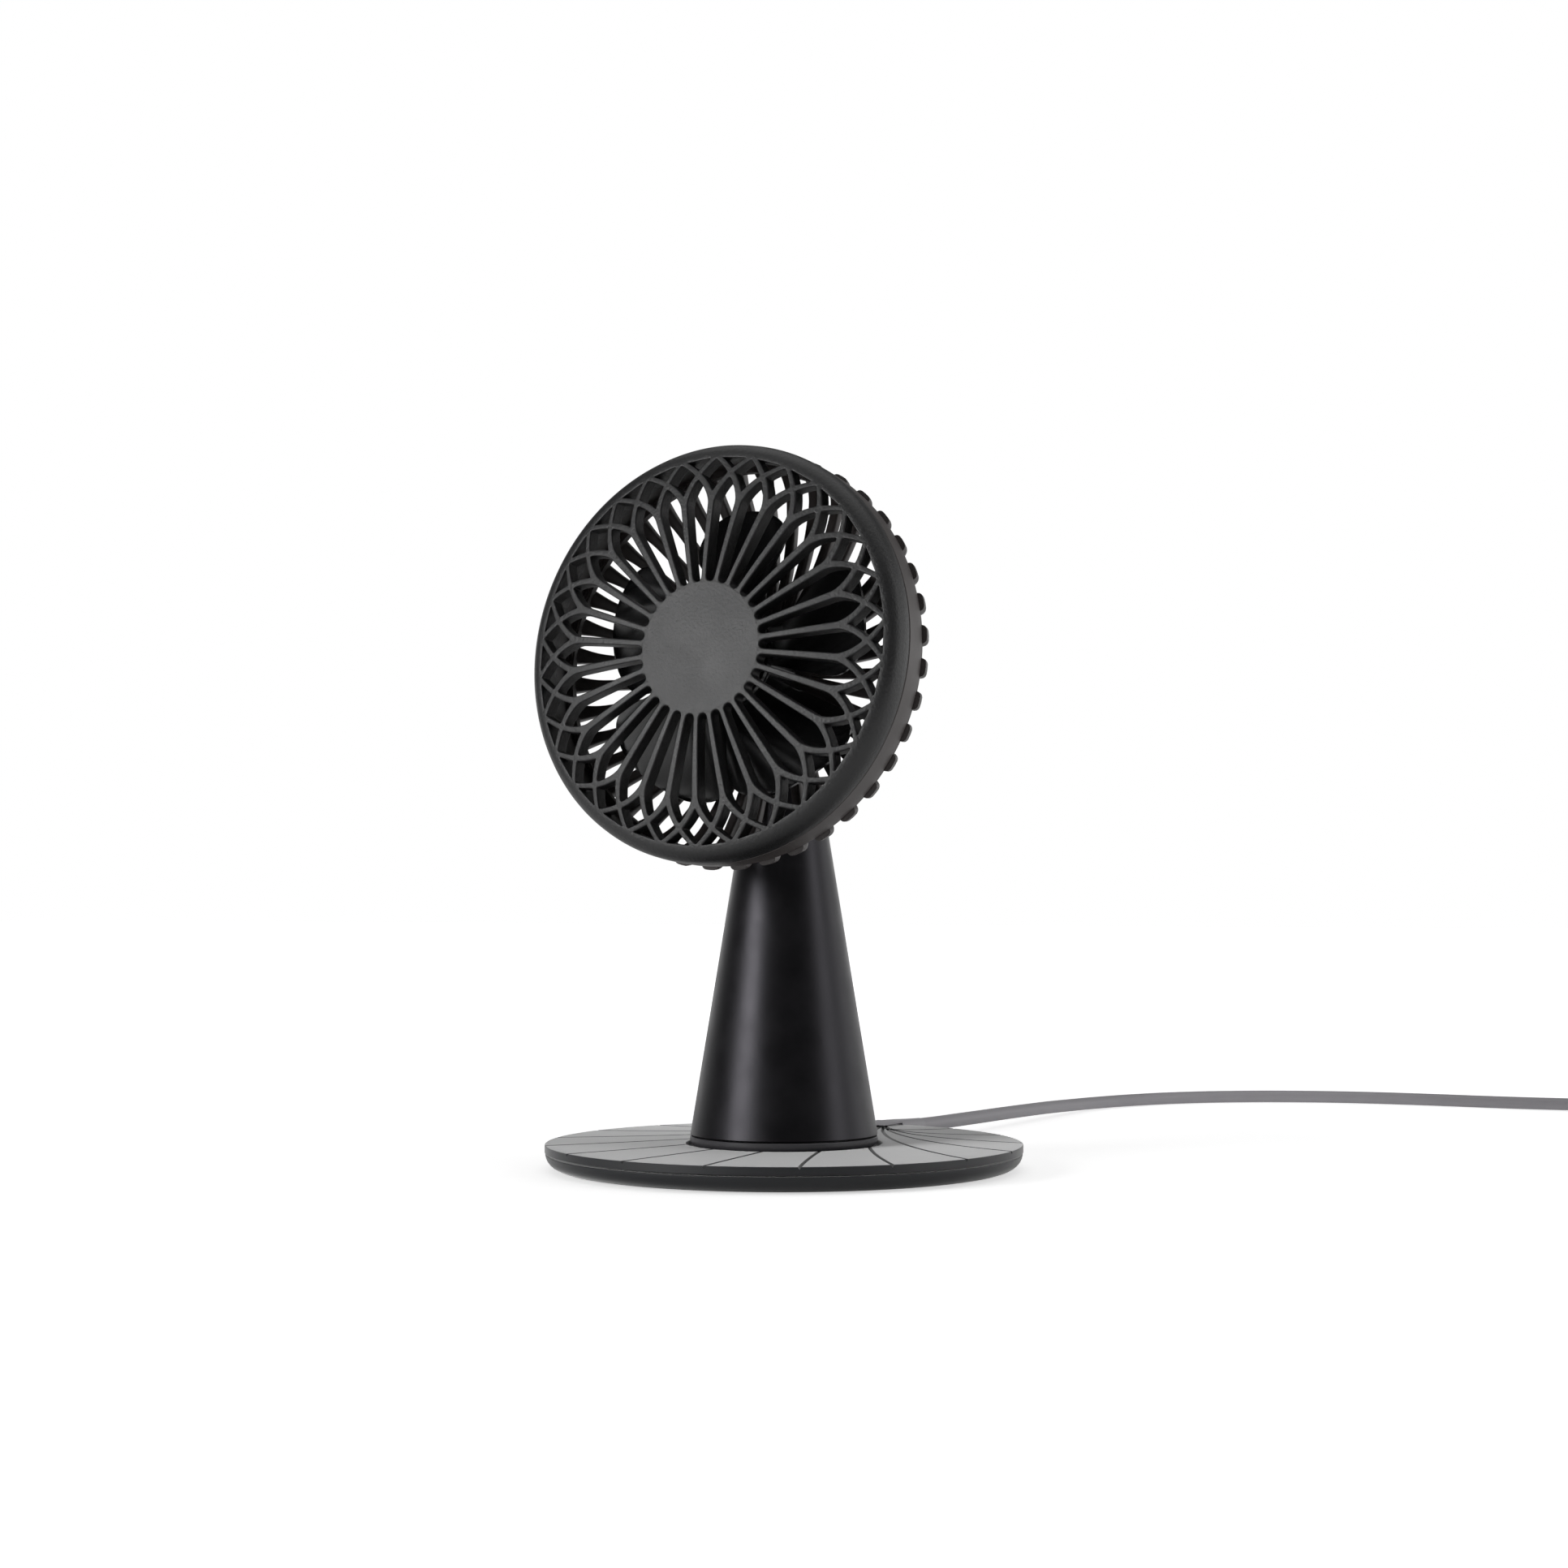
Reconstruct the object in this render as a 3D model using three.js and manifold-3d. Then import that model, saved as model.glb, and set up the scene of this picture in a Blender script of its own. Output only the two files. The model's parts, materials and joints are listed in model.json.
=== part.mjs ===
// Rechargeable desk fan on a round charging dock.
// Millimetres, +Z up. The origin is the centre of the dock's underside, the fan faces -Y
// and the charging lead leaves at +Y.

import * as THREE from 'three';
import { mergeVertices } from 'three/addons/utils/BufferGeometryUtils.js';
import Module from 'manifold-3d';

const wasm = await Module();
wasm.setup();

// Driving dimensions -----------------------------------------------------------------

const gap = 0.3; // between pieces that touch
const runningGap = 0.05; // between a shaft and its bearing
const wall = 1.8;

const dockRadius = 70;
const dockHeight = 7.4;
const plateSkirt = 2.4; // the visible side band of the top plate
const plateRoof = 2;
const footInset = 7; // of the rubber foot from the dock's edge
const footThick = 1;
const dockFloor = 1.7;
const seatDepth = 1.2; // recess that the stem stands in
const seatClearance = 1.2; // round the stem's foot
const grooveCount = 16;
const grooveWidth = 1;
const grooveDepth = 0.7;

const stemFootRadius = 27.7;
const stemTaper = 0.163; // radius lost per millimetre of height
const capHeight = 3;
const stemTop = 114;
const neckTopRadius = 4.5;

const headTilt = 6; // degrees that the face looks up
const hubInset = 0.16; // of the head's rear face, inside the stem's outline at the neck
const headHeight = 148; // of the seam's centre
const headRadius = 60;
const faceHeight = 10.5; // from the seam forward to the hub disc
const rimHeight = 6.9; // from the seam forward to the edge of the openings
const rimWidth = 4.2; // solid rim outside the openings
const hubRadius = 18.7;
const ribCount = 30;
const ribWidth = 1.8;
const ribDepth = 4.5;
const forkLength = 13.8; // from where a front rib forks to the edge of the openings
const forkOverrun = 0.5; // past that edge, where the forks of next-but-one ribs would meet
const bandDepth = 9; // rear housing, from the seam back

const rearRibCount = 40;
const rearRibWidth = 3;
const rearRibDepth = 3.2;
const knuckleRadius = 2.7; // rounded outer end of a rear rib
const rearDepth = 28.5; // from the seam back to the rear hub's outer face
const rearHubRadius = 17;
const rearHubThick = 3.5;

const bladeCount = 5;
const tipClearance = 17; // between the blades' tips and the head's outside
const bladeSpan = 27; // degrees each side of the blade's middle
const bladeThick = 1.6;
const rotorFront = -3; // front of the impeller's hub, behind the seam
const rotorClearance = 7; // between the impeller's hub and the rear hub's inner face
const rotorRadius = 15.5;
const shaftRadius = 1.25;

const cellRadius = 9.2;
const cellLength = 65;
const buttonRadius = 5;
const buttonHeight = 70;
const buttonProud = 0.6;
const buttonTravel = 0.8;

const cordRadius = 2.25;
const coilRadius = 23; // middle of the coil's turns
const glandWidth = 9;

// Sides of the round pieces, by size.
const widest = 48;
const middling = 30;
const narrow = 16;
const tiny = 8;

// Looks --------------------------------------------------------------------------------

const blackAbs = { color: 0x1c1c1e, roughness: 0.45, metalness: 0 };
const greyAbs = { color: 0x4a4848, roughness: 0.5, metalness: 0 };
const blackAluminium = { color: 0x19191b, roughness: 0.38, metalness: 0.6 };
const glossBlack = { color: 0x0d0d0e, roughness: 0.2, metalness: 0 };
const blackRubber = { color: 0x141415, roughness: 0.85, metalness: 0 };
const greyPvc = { color: 0x9a989c, roughness: 0.55, metalness: 0 };
const steel = { color: 0xb9babd, roughness: 0.35, metalness: 1 };
const copper = { color: 0xb8703a, roughness: 0.35, metalness: 1 };
const ferrite = { color: 0x39393b, roughness: 0.7, metalness: 0 };
const greenBoard = { color: 0x1f5a38, roughness: 0.5, metalness: 0 };
const blueSleeve = { color: 0x2f5f9e, roughness: 0.4, metalness: 0 };
const milkyLens = { color: 0xdfe3e6, roughness: 0.3, metalness: 0 };

// Geometry tools -----------------------------------------------------------------------

const rad = THREE.MathUtils.degToRad;
const p2 = (x, y) => new THREE.Vector2(x, y);
const p3 = (x, y, z) => new THREE.Vector3(x, y, z);

function solid(geometry) {
  const bare = geometry.clone();
  bare.deleteAttribute('normal');
  bare.deleteAttribute('uv');
  const merged = mergeVertices(bare, 1e-4);
  const kept = [];
  for (let i = 0; i < merged.index.count; i += 3) {
    const [a, b, c] = merged.index.array.slice(i, i + 3);
    if (a !== b && b !== c && c !== a) kept.push(a, b, c);
  }
  const vertProperties = new Float32Array(merged.attributes.position.array);
  const mesh = new wasm.Mesh({ numProp: 3, vertProperties, triVerts: new Uint32Array(kept) });
  return new wasm.Manifold(mesh);
}

function surface(manifold) {
  const { numProp, vertProperties, triVerts } = manifold.getMesh();
  const geometry = new THREE.BufferGeometry();
  geometry.setAttribute('position', new THREE.BufferAttribute(vertProperties, numProp));
  geometry.setIndex(new THREE.BufferAttribute(triVerts, 1));
  return geometry;
}

const joined = (...pieces) => surface(pieces.map(solid).reduce((all, one) => all.add(one)));
const cut = (piece, ...tools) =>
  surface(tools.map(solid).reduce((left, tool) => left.subtract(tool), solid(piece)));

// A profile of [radius, height] pairs turned about Z, anticlockwise or not.
function turned(profile, segments = middling) {
  const points = profile.map(([r, z]) => p2(r, z));
  if (THREE.ShapeUtils.area(points) < 0) points.reverse();
  if (points[0].x > 0) points.push(points[0].clone());
  const geometry = new THREE.LatheGeometry(points, segments);
  const outward = geometry.rotateX(Math.PI / 2);
  if (solid(outward).volume() < 0) throw new Error('profile turned inside out');
  return outward;
}

const disc = (radius, low, high, segments = narrow) =>
  turned([[0, low], [radius, low], [radius, high], [0, high]], segments);
const ring = (inner, outer, low, high, segments = narrow) =>
  turned([[inner, low], [outer, low], [outer, high], [inner, high]], segments);
const block = (x0, x1, y0, y1, z0, z1) =>
  new THREE.BoxGeometry(x1 - x0, y1 - y0, z1 - z0)
    .translate((x0 + x1) / 2, (y0 + y1) / 2, (z0 + z1) / 2);
const extruded = (outline, depth, holes = []) => {
  const shape = new THREE.Shape(outline);
  shape.holes = holes.map((hole) => new THREE.Path(hole));
  return new THREE.ExtrudeGeometry(shape, { depth, bevelEnabled: false });
};
const bent = (geometry, move) => {
  const position = geometry.attributes.position;
  const at = p3(0, 0, 0);
  for (let i = 0; i < position.count; i += 1) {
    move(at.fromBufferAttribute(position, i));
    position.setXYZ(i, at.x, at.y, at.z);
  }
  return geometry;
};
function tube(points, radius, steps, sides = 8) {
  const section = new THREE.Shape();
  for (let i = 0; i < sides; i += 1) {
    const turn = (i * 2 * Math.PI) / sides;
    const x = radius * Math.cos(turn);
    const y = radius * Math.sin(turn);
    if (i) section.lineTo(x, y);
    else section.moveTo(x, y);
  }
  const extrudePath = new THREE.CatmullRomCurve3(points, false, 'centripetal');
  return new THREE.ExtrudeGeometry(section, { steps, bevelEnabled: false, extrudePath });
}
const polar = (radius, angle) => p2(radius * Math.cos(angle), radius * Math.sin(angle));
const spaced = (count, make) => Array.from({ length: count }, (_, i) => make(i));

// The assembly --------------------------------------------------------------------------

const fan = new THREE.Group();
const head = new THREE.Group(); // +Z forward along the fan's axis, +Y up, origin at the seam
fan.add(head);

function piece(parent, name, geometry, look) {
  const mesh = new THREE.Mesh(geometry, new THREE.MeshStandardMaterial(look));
  mesh.name = name;
  parent.add(mesh);
  return mesh;
}

// Dock: grooved top plate, lower shell, weight, rubber foot ------------------------------

const plateUnder = dockHeight - plateRoof;
const skirtLow = dockHeight - plateSkirt;
const footRadius = dockRadius - footInset;
const shellLow = footThick + gap;
const shellFloorTop = shellLow + dockFloor;
const seatFloor = dockHeight - seatDepth;
const capLow = seatFloor + gap;
const seatRadius = stemFootRadius + seatClearance;
const dockScrewCircle = footRadius - 5;
const dockScrews = spaced(4, (i) => polar(dockScrewCircle, rad(45 + 90 * i)));
const screwShank = 1;
const screwHead = 2.2;
const headThick = 0.9;

// A groove runs from the lead's outlet to the rim, bowed towards the dock's middle.
function groove(angle) {
  const outlet = p2(0, dockRadius - 3);
  const rim = polar(dockRadius + 1, angle);
  const bow = outlet.clone().add(rim).multiplyScalar(0.5 * 0.6);
  const line = new THREE.QuadraticBezierCurve(outlet, bow, rim);
  const steps = 5;
  const side = (sign) =>
    spaced(steps + 1, (i) => {
      const along = line.getTangent(i / steps);
      const across = p2(-along.y, along.x).multiplyScalar((sign * grooveWidth) / 2);
      return line.getPoint(i / steps).add(across);
    });
  const outline = [...side(1), ...side(-1).reverse()];
  return extruded(outline, grooveDepth + 1).translate(0, 0, dockHeight - grooveDepth);
}
const grooveStep = 360 / (grooveCount + 1);
const grooves = spaced(grooveCount, (i) => groove(rad(90 + grooveStep * (i + 1))));

const plate = turned([
  [0, plateUnder],
  [dockRadius - 2.6, plateUnder],
  [dockRadius - 2.6, skirtLow],
  [dockRadius, skirtLow],
  [dockRadius, dockHeight - 0.5],
  [dockRadius - 0.5, dockHeight],
  [seatRadius + 0.3, dockHeight],
  [seatRadius, seatFloor],
  [0, seatFloor],
], widest);
const plateHoles = dockScrews.map((at) =>
  disc(screwShank + 0.15, plateUnder - 1, plateUnder + 1, tiny).translate(at.x, at.y, 0));
piece(fan, 'dock_plate', cut(plate, ...grooves, ...plateHoles), blackAbs);

const shell = turned([
  [0, shellLow],
  [footRadius + gap, shellLow],
  [footRadius + gap, 0.4],
  [dockRadius - 4.3, 0.4],
  [dockRadius - 2, 1.6],
  [dockRadius - 0.7, 3],
  [dockRadius - 0.2, skirtLow - gap],
  [dockRadius - 2.8, skirtLow - gap],
  [dockRadius - 3.2, shellFloorTop + 0.3],
  [dockRadius - 4.5, shellFloorTop],
  [0, shellFloorTop],
], widest);
const shellHoles = dockScrews.flatMap((at) => [
  disc(screwShank + 0.15, shellLow - 1, shellFloorTop + 1, tiny).translate(at.x, at.y, 0),
  disc(screwHead + gap, shellLow - 1, shellLow + headThick + 0.1, 12).translate(at.x, at.y, 0),
]);
piece(fan, 'dock_shell', cut(shell, ...shellHoles), blackAbs);
piece(fan, 'dock_foot', disc(footRadius, 0, footThick, widest), blackRubber);

const boardLow = shellFloorTop + gap;
const dockFerriteRadius = 22;
const dockBoard = { x: 9, y0: dockFerriteRadius + 10, y1: footRadius - 9, thick: 1.1 };
const weightTop = plateUnder - gap;
const weightBlank = ring(dockFerriteRadius + 5, footRadius - 1, boardLow, weightTop, middling);
const weightHoles = dockScrews.map((at) =>
  disc(screwShank + 0.6, 0, dockHeight, tiny).translate(at.x, at.y, 0));
const boardBay = block(
  -dockBoard.x - 1, dockBoard.x + 1, dockBoard.y0 - 1, dockBoard.y1 + 1, 0, dockHeight,
);
piece(fan, 'dock_weight', cut(weightBlank, boardBay, ...weightHoles), steel);
piece(
  fan, 'dock_board',
  block(-dockBoard.x, dockBoard.x, dockBoard.y0, dockBoard.y1, boardLow, boardLow + dockBoard.thick),
  greenBoard,
);
const ferriteTop = boardLow + 0.6;
piece(fan, 'dock_ferrite', disc(dockFerriteRadius, boardLow, ferriteTop), ferrite);
piece(fan, 'dock_coil', ring(8, dockFerriteRadius - 1, ferriteTop + gap, weightTop), copper);

dockScrews.forEach((at, i) => {
  const low = shellLow + 0.05;
  const screw = turned([
    [0, low],
    [screwHead, low],
    [screwHead, low + headThick],
    [screwShank, low + headThick],
    [screwShank, plateUnder + 0.8],
    [0, plateUnder + 0.8],
  ], tiny).translate(at.x, at.y, 0);
  piece(fan, `dock_screw_${i + 1}`, screw, steel);
});

// Stem: cap, cone, cell and its carrier, boards, button -----------------------------------

const seam = capLow + capHeight;
const stemLow = seam + gap;
const coneRadius = (z) => stemFootRadius - stemTaper * (z - seam);
const boreRadius = (z) => coneRadius(z) - wall;
const spigotTop = seam + 3.5;
const spigotRadius = boreRadius(spigotTop) - gap;
const capFloor = capLow + 1.9;
const capScrewCircle = spigotRadius - 3.6;
const capScrews = spaced(3, (i) => polar(capScrewCircle, rad(30 + 120 * i)));

const cap = turned([
  [0, capLow],
  [stemFootRadius - 2, capLow],
  [stemFootRadius - 0.7, capLow + 0.6],
  [stemFootRadius - 0.1, capLow + 1.7],
  [stemFootRadius, seam],
  [spigotRadius, seam],
  [spigotRadius, spigotTop],
  [spigotRadius - wall, spigotTop],
  [spigotRadius - wall, capFloor],
  [0, capFloor],
], middling);
const capHoles = capScrews.flatMap((at) => [
  disc(screwShank + 0.15, capLow - 1, capFloor + 1, tiny).translate(at.x, at.y, 0),
  disc(screwHead + gap, capLow - 1, capLow + headThick + 0.2, 12).translate(at.x, at.y, 0),
]);
piece(fan, 'stem_cap', cut(cap, ...capHoles), blackAbs);

const carrierLow = spigotTop + gap;
const carrierThick = 1.8;
const tabThick = 0.3;
const cellLow = carrierLow + carrierThick + gap + tabThick + gap;
const cellTop = cellLow + cellLength;
const carrierTop = cellTop + gap + tabThick + gap;
const boardFront = cellRadius + 0.5;
const boardThick = 1;
const boardTop = carrierTop + 6;

capScrews.forEach((at, i) => {
  const low = capLow + 0.15;
  const screw = turned([
    [0, low],
    [screwHead, low],
    [screwHead, low + headThick],
    [screwShank, low + headThick],
    [screwShank, carrierLow + 1.4],
    [0, carrierLow + 1.4],
  ], tiny).translate(at.x, at.y, 0);
  piece(fan, `cap_screw_${i + 1}`, screw, steel);
});

const receiverRadius = capScrewCircle - screwShank - 2;
piece(fan, 'receiver_ferrite', disc(receiverRadius, capFloor + gap, capFloor + gap + 0.6), ferrite);
const receiverLow = capFloor + gap + 0.6 + gap;
piece(fan, 'receiver_coil', ring(7, receiverRadius - 1, receiverLow, receiverLow + 1.2), copper);

const shoulder = disc(boreRadius(carrierTop + carrierThick) - gap, carrierTop, carrierTop + carrierThick);
const carrierFoot = disc(boreRadius(carrierLow + carrierThick) - gap, carrierLow, carrierLow + carrierThick);
const spine = block(-6, 6, -cellRadius - 2.3, -cellRadius - gap, carrierLow + 1, carrierTop + 1);
const boardSlot = block(-20, 20, boardFront - gap, 40, carrierTop - 1, carrierTop + carrierThick + 1);
const carrierHoles = capScrews.map((at) =>
  disc(screwShank + 0.1, carrierLow - 1, carrierLow + 1.6, tiny).translate(at.x, at.y, 0));
piece(
  fan, 'cell_carrier',
  cut(joined(carrierFoot, shoulder, spine), boardSlot, ...carrierHoles),
  greyAbs,
);
const tabLow = carrierLow + carrierThick + gap;
piece(fan, 'cell_tab_low', block(-3, 3, -7, 7, tabLow, tabLow + tabThick), steel);
piece(fan, 'battery_cell', disc(cellRadius, cellLow, cellTop), blueSleeve);
piece(fan, 'cell_tab_high', block(-3, 3, -7, 7, cellTop + gap, cellTop + gap + tabThick), steel);
const boardReach = Math.sqrt(boreRadius(boardTop) ** 2 - (boardFront + boardThick) ** 2);
const boardHalf = boardReach - 2.4;
piece(
  fan, 'control_board',
  block(-boardHalf, boardHalf, boardFront, boardFront + boardThick, buttonHeight - 14, boardTop),
  greenBoard,
);

// The button's axis is square to the cone's rear face.
const lean = Math.atan(stemTaper);
const buttonSeat = coneRadius(buttonHeight);
const alongButton = (geometry) =>
  geometry.rotateX(-Math.PI / 2 + lean).translate(0, buttonSeat, buttonHeight);
const buttonBore = alongButton(disc(buttonRadius + gap, -wall * 2, 3, narrow));
const flangeRadius = buttonRadius + 0.8;
const buttonBoreRadius = buttonSeat - wall;
const boreSag = buttonBoreRadius - Math.sqrt(buttonBoreRadius ** 2 - flangeRadius ** 2);
const flangeThick = 0.6;
const flangeBack = -wall - gap - boreSag;
const button = alongButton(turned([
  [0, flangeBack - flangeThick],
  [flangeRadius, flangeBack - flangeThick],
  [flangeRadius, flangeBack],
  [buttonRadius, flangeBack],
  [buttonRadius, buttonProud - 0.4],
  [buttonRadius - 0.5, buttonProud],
  [0, buttonProud - 0.3],
], narrow));
piece(fan, 'power_button', button, blackAbs);
const switchFront = boardFront + boardThick + gap;
const flangeReach = buttonSeat + flangeBack - flangeThick;
piece(
  fan, 'button_switch',
  block(-3, 3, switchFront, flangeReach - buttonTravel - 0.8, buttonHeight - 3, buttonHeight + 3),
  glossBlack,
);

const lampHeight = buttonHeight + 11;
const lampBore = disc(1 + gap / 2, -wall * 2, 3, tiny)
  .rotateX(-Math.PI / 2 + lean)
  .translate(0, coneRadius(lampHeight), lampHeight);
piece(
  fan, 'lamp_lens',
  disc(1, -wall - 0.4, 0, tiny)
    .rotateX(-Math.PI / 2 + lean)
    .translate(0, coneRadius(lampHeight), lampHeight),
  milkyLens,
);

const cone = turned([
  [boreRadius(stemLow), stemLow],
  [coneRadius(stemLow), stemLow],
  [coneRadius(stemTop), stemTop],
  [boreRadius(stemTop), stemTop],
], middling);
piece(fan, 'stem_cone', cut(cone, buttonBore, lampBore), blackAluminium);

// Neck: goes on from the cone and carries the head -----------------------------------------

const headReach = rearDepth + coneRadius(stemTop) - hubInset; // stem's axis to the head's seam
head.position.set(0, -headReach, headHeight);
head.rotation.x = rad(90 - headTilt);
head.updateMatrix();
const inWorld = (geometry) => geometry.applyMatrix4(head.matrix);
const neckLow = stemTop + gap;
const neckTop = headHeight + 4;
const crown = neckTopRadius;
const neckPost = turned([
  [0, neckLow - 6],
  [boreRadius(neckLow) - gap, neckLow - 6],
  [boreRadius(neckLow) - gap, neckLow],
  [coneRadius(neckLow), neckLow],
  [crown, neckTop],
  [crown * 0.8, neckTop + crown * 0.45],
  [crown * 0.42, neckTop + crown * 0.75],
  [0, neckTop + crown * 0.85],
], middling);
const bossRadius = 12.5;
const boss = inWorld(turned([
  [0, -headReach - 1],
  [bossRadius - 5, -headReach - 1],
  [bossRadius, -headReach + 5],
  [bossRadius, -rearDepth - gap],
  [0, -rearDepth - gap],
], middling));
const ductDrop = 8.2; // the motor's lead passes this far below the fan's axis
const ductRadius = 2.4;
const ductTop = headHeight - ductDrop - 2;
const upDuct = disc(3.4, neckLow - 8, ductTop + 1, 12);
const hubDuct = inWorld(disc(ductRadius, -headReach + 1, 0, tiny).translate(0, -ductDrop, 0));
const hubScrews = spaced(3, (i) => polar(9.4, rad(90 + 120 * i)));
const hubScrewHoles = (radius) =>
  hubScrews.map((at) => disc(radius, -rearDepth - 7, -rearDepth + 6, tiny).translate(at.x, at.y, 0));
piece(
  fan, 'neck',
  cut(joined(neckPost, boss), upDuct, hubDuct, ...hubScrewHoles(screwShank + 0.15).map(inWorld)),
  blackAbs,
);

// Head, front: one moulding of rim, ribs and hub disc --------------------------------------

const sector = (2 * Math.PI) / ribCount;
const openingRadius = headRadius - rimWidth;
const splitRadius = openingRadius - forkLength;
const meetRadius = openingRadius + forkOverrun;
const dome = (r) => {
  const share = Math.max(0, (r - hubRadius) / (openingRadius - hubRadius));
  return faceHeight - (faceHeight - rimHeight) * share ** 1.6;
};
// A fork leaves its rib at the split and bends over to its second neighbour.
const forkShare = (r) => Math.max(0, (r - splitRadius) / (meetRadius - splitRadius));
const forkAngle = (r) => sector * forkShare(r) ** 1.5;
const forkSlope = (r) => (r * sector * 1.5 * forkShare(r) ** 0.5) / (meetRadius - splitRadius);
const forkHalf = (r) => ((ribWidth / 2) * Math.hypot(1, forkSlope(r))) / r;

const petalHalf = (r) => sector / 2 - forkAngle(r) - forkHalf(r);
const diamondHalf = (r) => Math.min(forkAngle(r), sector - forkAngle(r)) - forkHalf(r);
const wedgeHalf = (r) => forkAngle(r) - sector / 2 - forkHalf(r);

// Walks outwards through the radii where an opening has width.
function openingOutline(half, low, high, steps, middle) {
  const fine = spaced(400, (i) => low + ((high - low) * i) / 399).filter((r) => half(r) > 0);
  const start = fine[0];
  const end = fine[fine.length - 1];
  const radii = spaced(steps + 1, (i) => start + ((end - start) * i) / steps);
  const sideways = (sign) => radii.map((r) => polar(r, middle + sign * Math.max(half(r), 2e-3)));
  return [...sideways(-1), ...sideways(1).reverse()];
}
const slotStart = hubRadius + 1.2;
const openings = spaced(ribCount, (i) => {
  const onRib = i * sector + Math.PI / 2;
  const between = onRib + sector / 2;
  return [
    openingOutline(petalHalf, slotStart, openingRadius, 4, between),
    openingOutline(diamondHalf, splitRadius, openingRadius, 3, onRib),
    openingOutline(wedgeHalf, splitRadius, openingRadius, 1, between),
  ];
}).flat();
const lipRadius = headRadius - 2.9;
const faceEdge = spaced(widest, (i) => polar(lipRadius, (i * 2 * Math.PI) / widest));
const face = bent(extruded(faceEdge, ribDepth, openings), (at) => {
  at.z += dome(Math.hypot(at.x, at.y)) - ribDepth;
});
const rim = turned([
  [openingRadius + 0.1, dome(openingRadius) - 0.02],
  [headRadius - 2.4, rimHeight - 0.6],
  [headRadius - 1, rimHeight - 1.9],
  [headRadius - 0.2, rimHeight - 3.7],
  [headRadius, rimHeight - 5.7],
  [headRadius, gap / 2],
  [lipRadius, gap / 2],
  [lipRadius, -2.6],
  [openingRadius + 0.1, -2.6],
], widest);
piece(head, 'front_grille', joined(face, rim), blackAbs);

// Head, rear: housing band and grille ------------------------------------------------------

piece(head, 'rear_housing', turned([
  [lipRadius + gap, -gap / 2],
  [headRadius, -gap / 2],
  [headRadius - 0.1, -bandDepth * 0.5],
  [headRadius - 0.6, -bandDepth],
  [lipRadius - 0.4, -bandDepth],
  [lipRadius - 0.4, -2.6 - gap],
  [lipRadius + gap, -2.6 - gap],
], widest), greyAbs);

const rearTop = -bandDepth - gap;
const knuckleCircle = headRadius - 2.1;
const rearRing = turned([
  [knuckleCircle - 3, rearTop],
  [knuckleCircle + 0.6, rearTop],
  [knuckleCircle + 0.6, rearTop - 2],
  [knuckleCircle - 3, rearTop - 2],
], rearRibCount);
const hubInside = -rearDepth + rearHubThick;
const rearHub = disc(rearHubRadius, -rearDepth, hubInside, rearRibCount);
const ribRoot = rearHubRadius - 2;
const alongRib = (share) => ribRoot + (knuckleCircle - 1 - ribRoot) * share;
const ribBack = [
  p2(ribRoot, -rearDepth + 0.2),
  p2(alongRib(0.43), -rearDepth + 1.9),
  p2(alongRib(0.74), -rearDepth + 6.8),
  p2(alongRib(1), rearTop - 4.2),
];
const ribFront = [
  p2(alongRib(1), rearTop - 0.2),
  p2(alongRib(0.72), -rearDepth + 6.8 + rearRibDepth),
  p2(alongRib(0.41), -rearDepth + 1.9 + rearRibDepth),
  p2(ribRoot, -rearDepth + rearRibDepth),
];
const rearRib = extruded([...ribBack, ...ribFront], rearRibWidth)
  .translate(0, 0, -rearRibWidth / 2)
  .rotateX(Math.PI / 2);
const knuckle = disc(knuckleRadius, rearTop - 4.4, rearTop, tiny).translate(knuckleCircle, 0, 0);
const oneRearRib = joined(rearRib, knuckle);
const rearRibs = spaced(rearRibCount, (i) =>
  oneRearRib.clone().rotateZ(((i + 0.5) * 2 * Math.PI) / rearRibCount));
piece(
  head, 'rear_grille',
  cut(
    joined(rearRing, rearHub, ...rearRibs),
    ...hubScrewHoles(screwShank + 0.15),
    disc(ductRadius, -rearDepth - 1, 0, tiny).translate(0, -ductDrop, 0),
  ),
  greyAbs,
);
hubScrews.forEach((at, i) => {
  const screw = turned([
    [0, -rearDepth - 6],
    [screwShank, -rearDepth - 6],
    [screwShank, hubInside + 0.1],
    [screwHead, hubInside + 0.1],
    [screwHead, hubInside + 1.5],
    [0, hubInside + 1.5],
  ], tiny).translate(at.x, at.y, 0);
  piece(head, `hub_screw_${i + 1}`, screw, steel);
});

// Motor: cup rotor inside the impeller, stator on the rear hub -----------------------------

const tubeRadius = 4.1;
const bearingRadius = 2.6;
const rotorBack = hubInside + rotorClearance;
const rotorDepth = rotorFront - rotorBack;
const cupRadius = rotorRadius - 2;
const magnetRadius = cupRadius - gap;
const statorRadius = magnetRadius - 1.9 - 0.8;
const statorFront = rotorFront - 7;
const statorBack = rotorBack + 2;
const tubeFront = rotorFront - 4.8;

piece(head, 'bearing_tube', turned([
  [bearingRadius + runningGap, hubInside + gap],
  [5.5, hubInside + gap],
  [5.5, hubInside + gap + 1],
  [tubeRadius, hubInside + gap + 1],
  [tubeRadius, tubeFront],
  [bearingRadius + runningGap, tubeFront],
], narrow), steel);
const bearing = (low) => ring(shaftRadius + runningGap, bearingRadius, low, low + 3);
piece(head, 'bearing_front', bearing(tubeFront - 3.4), steel);
piece(head, 'bearing_rear', bearing(hubInside + 1), steel);
piece(head, 'motor_shaft', disc(shaftRadius, hubInside + 0.8, rotorFront - 2.2), steel);

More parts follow.
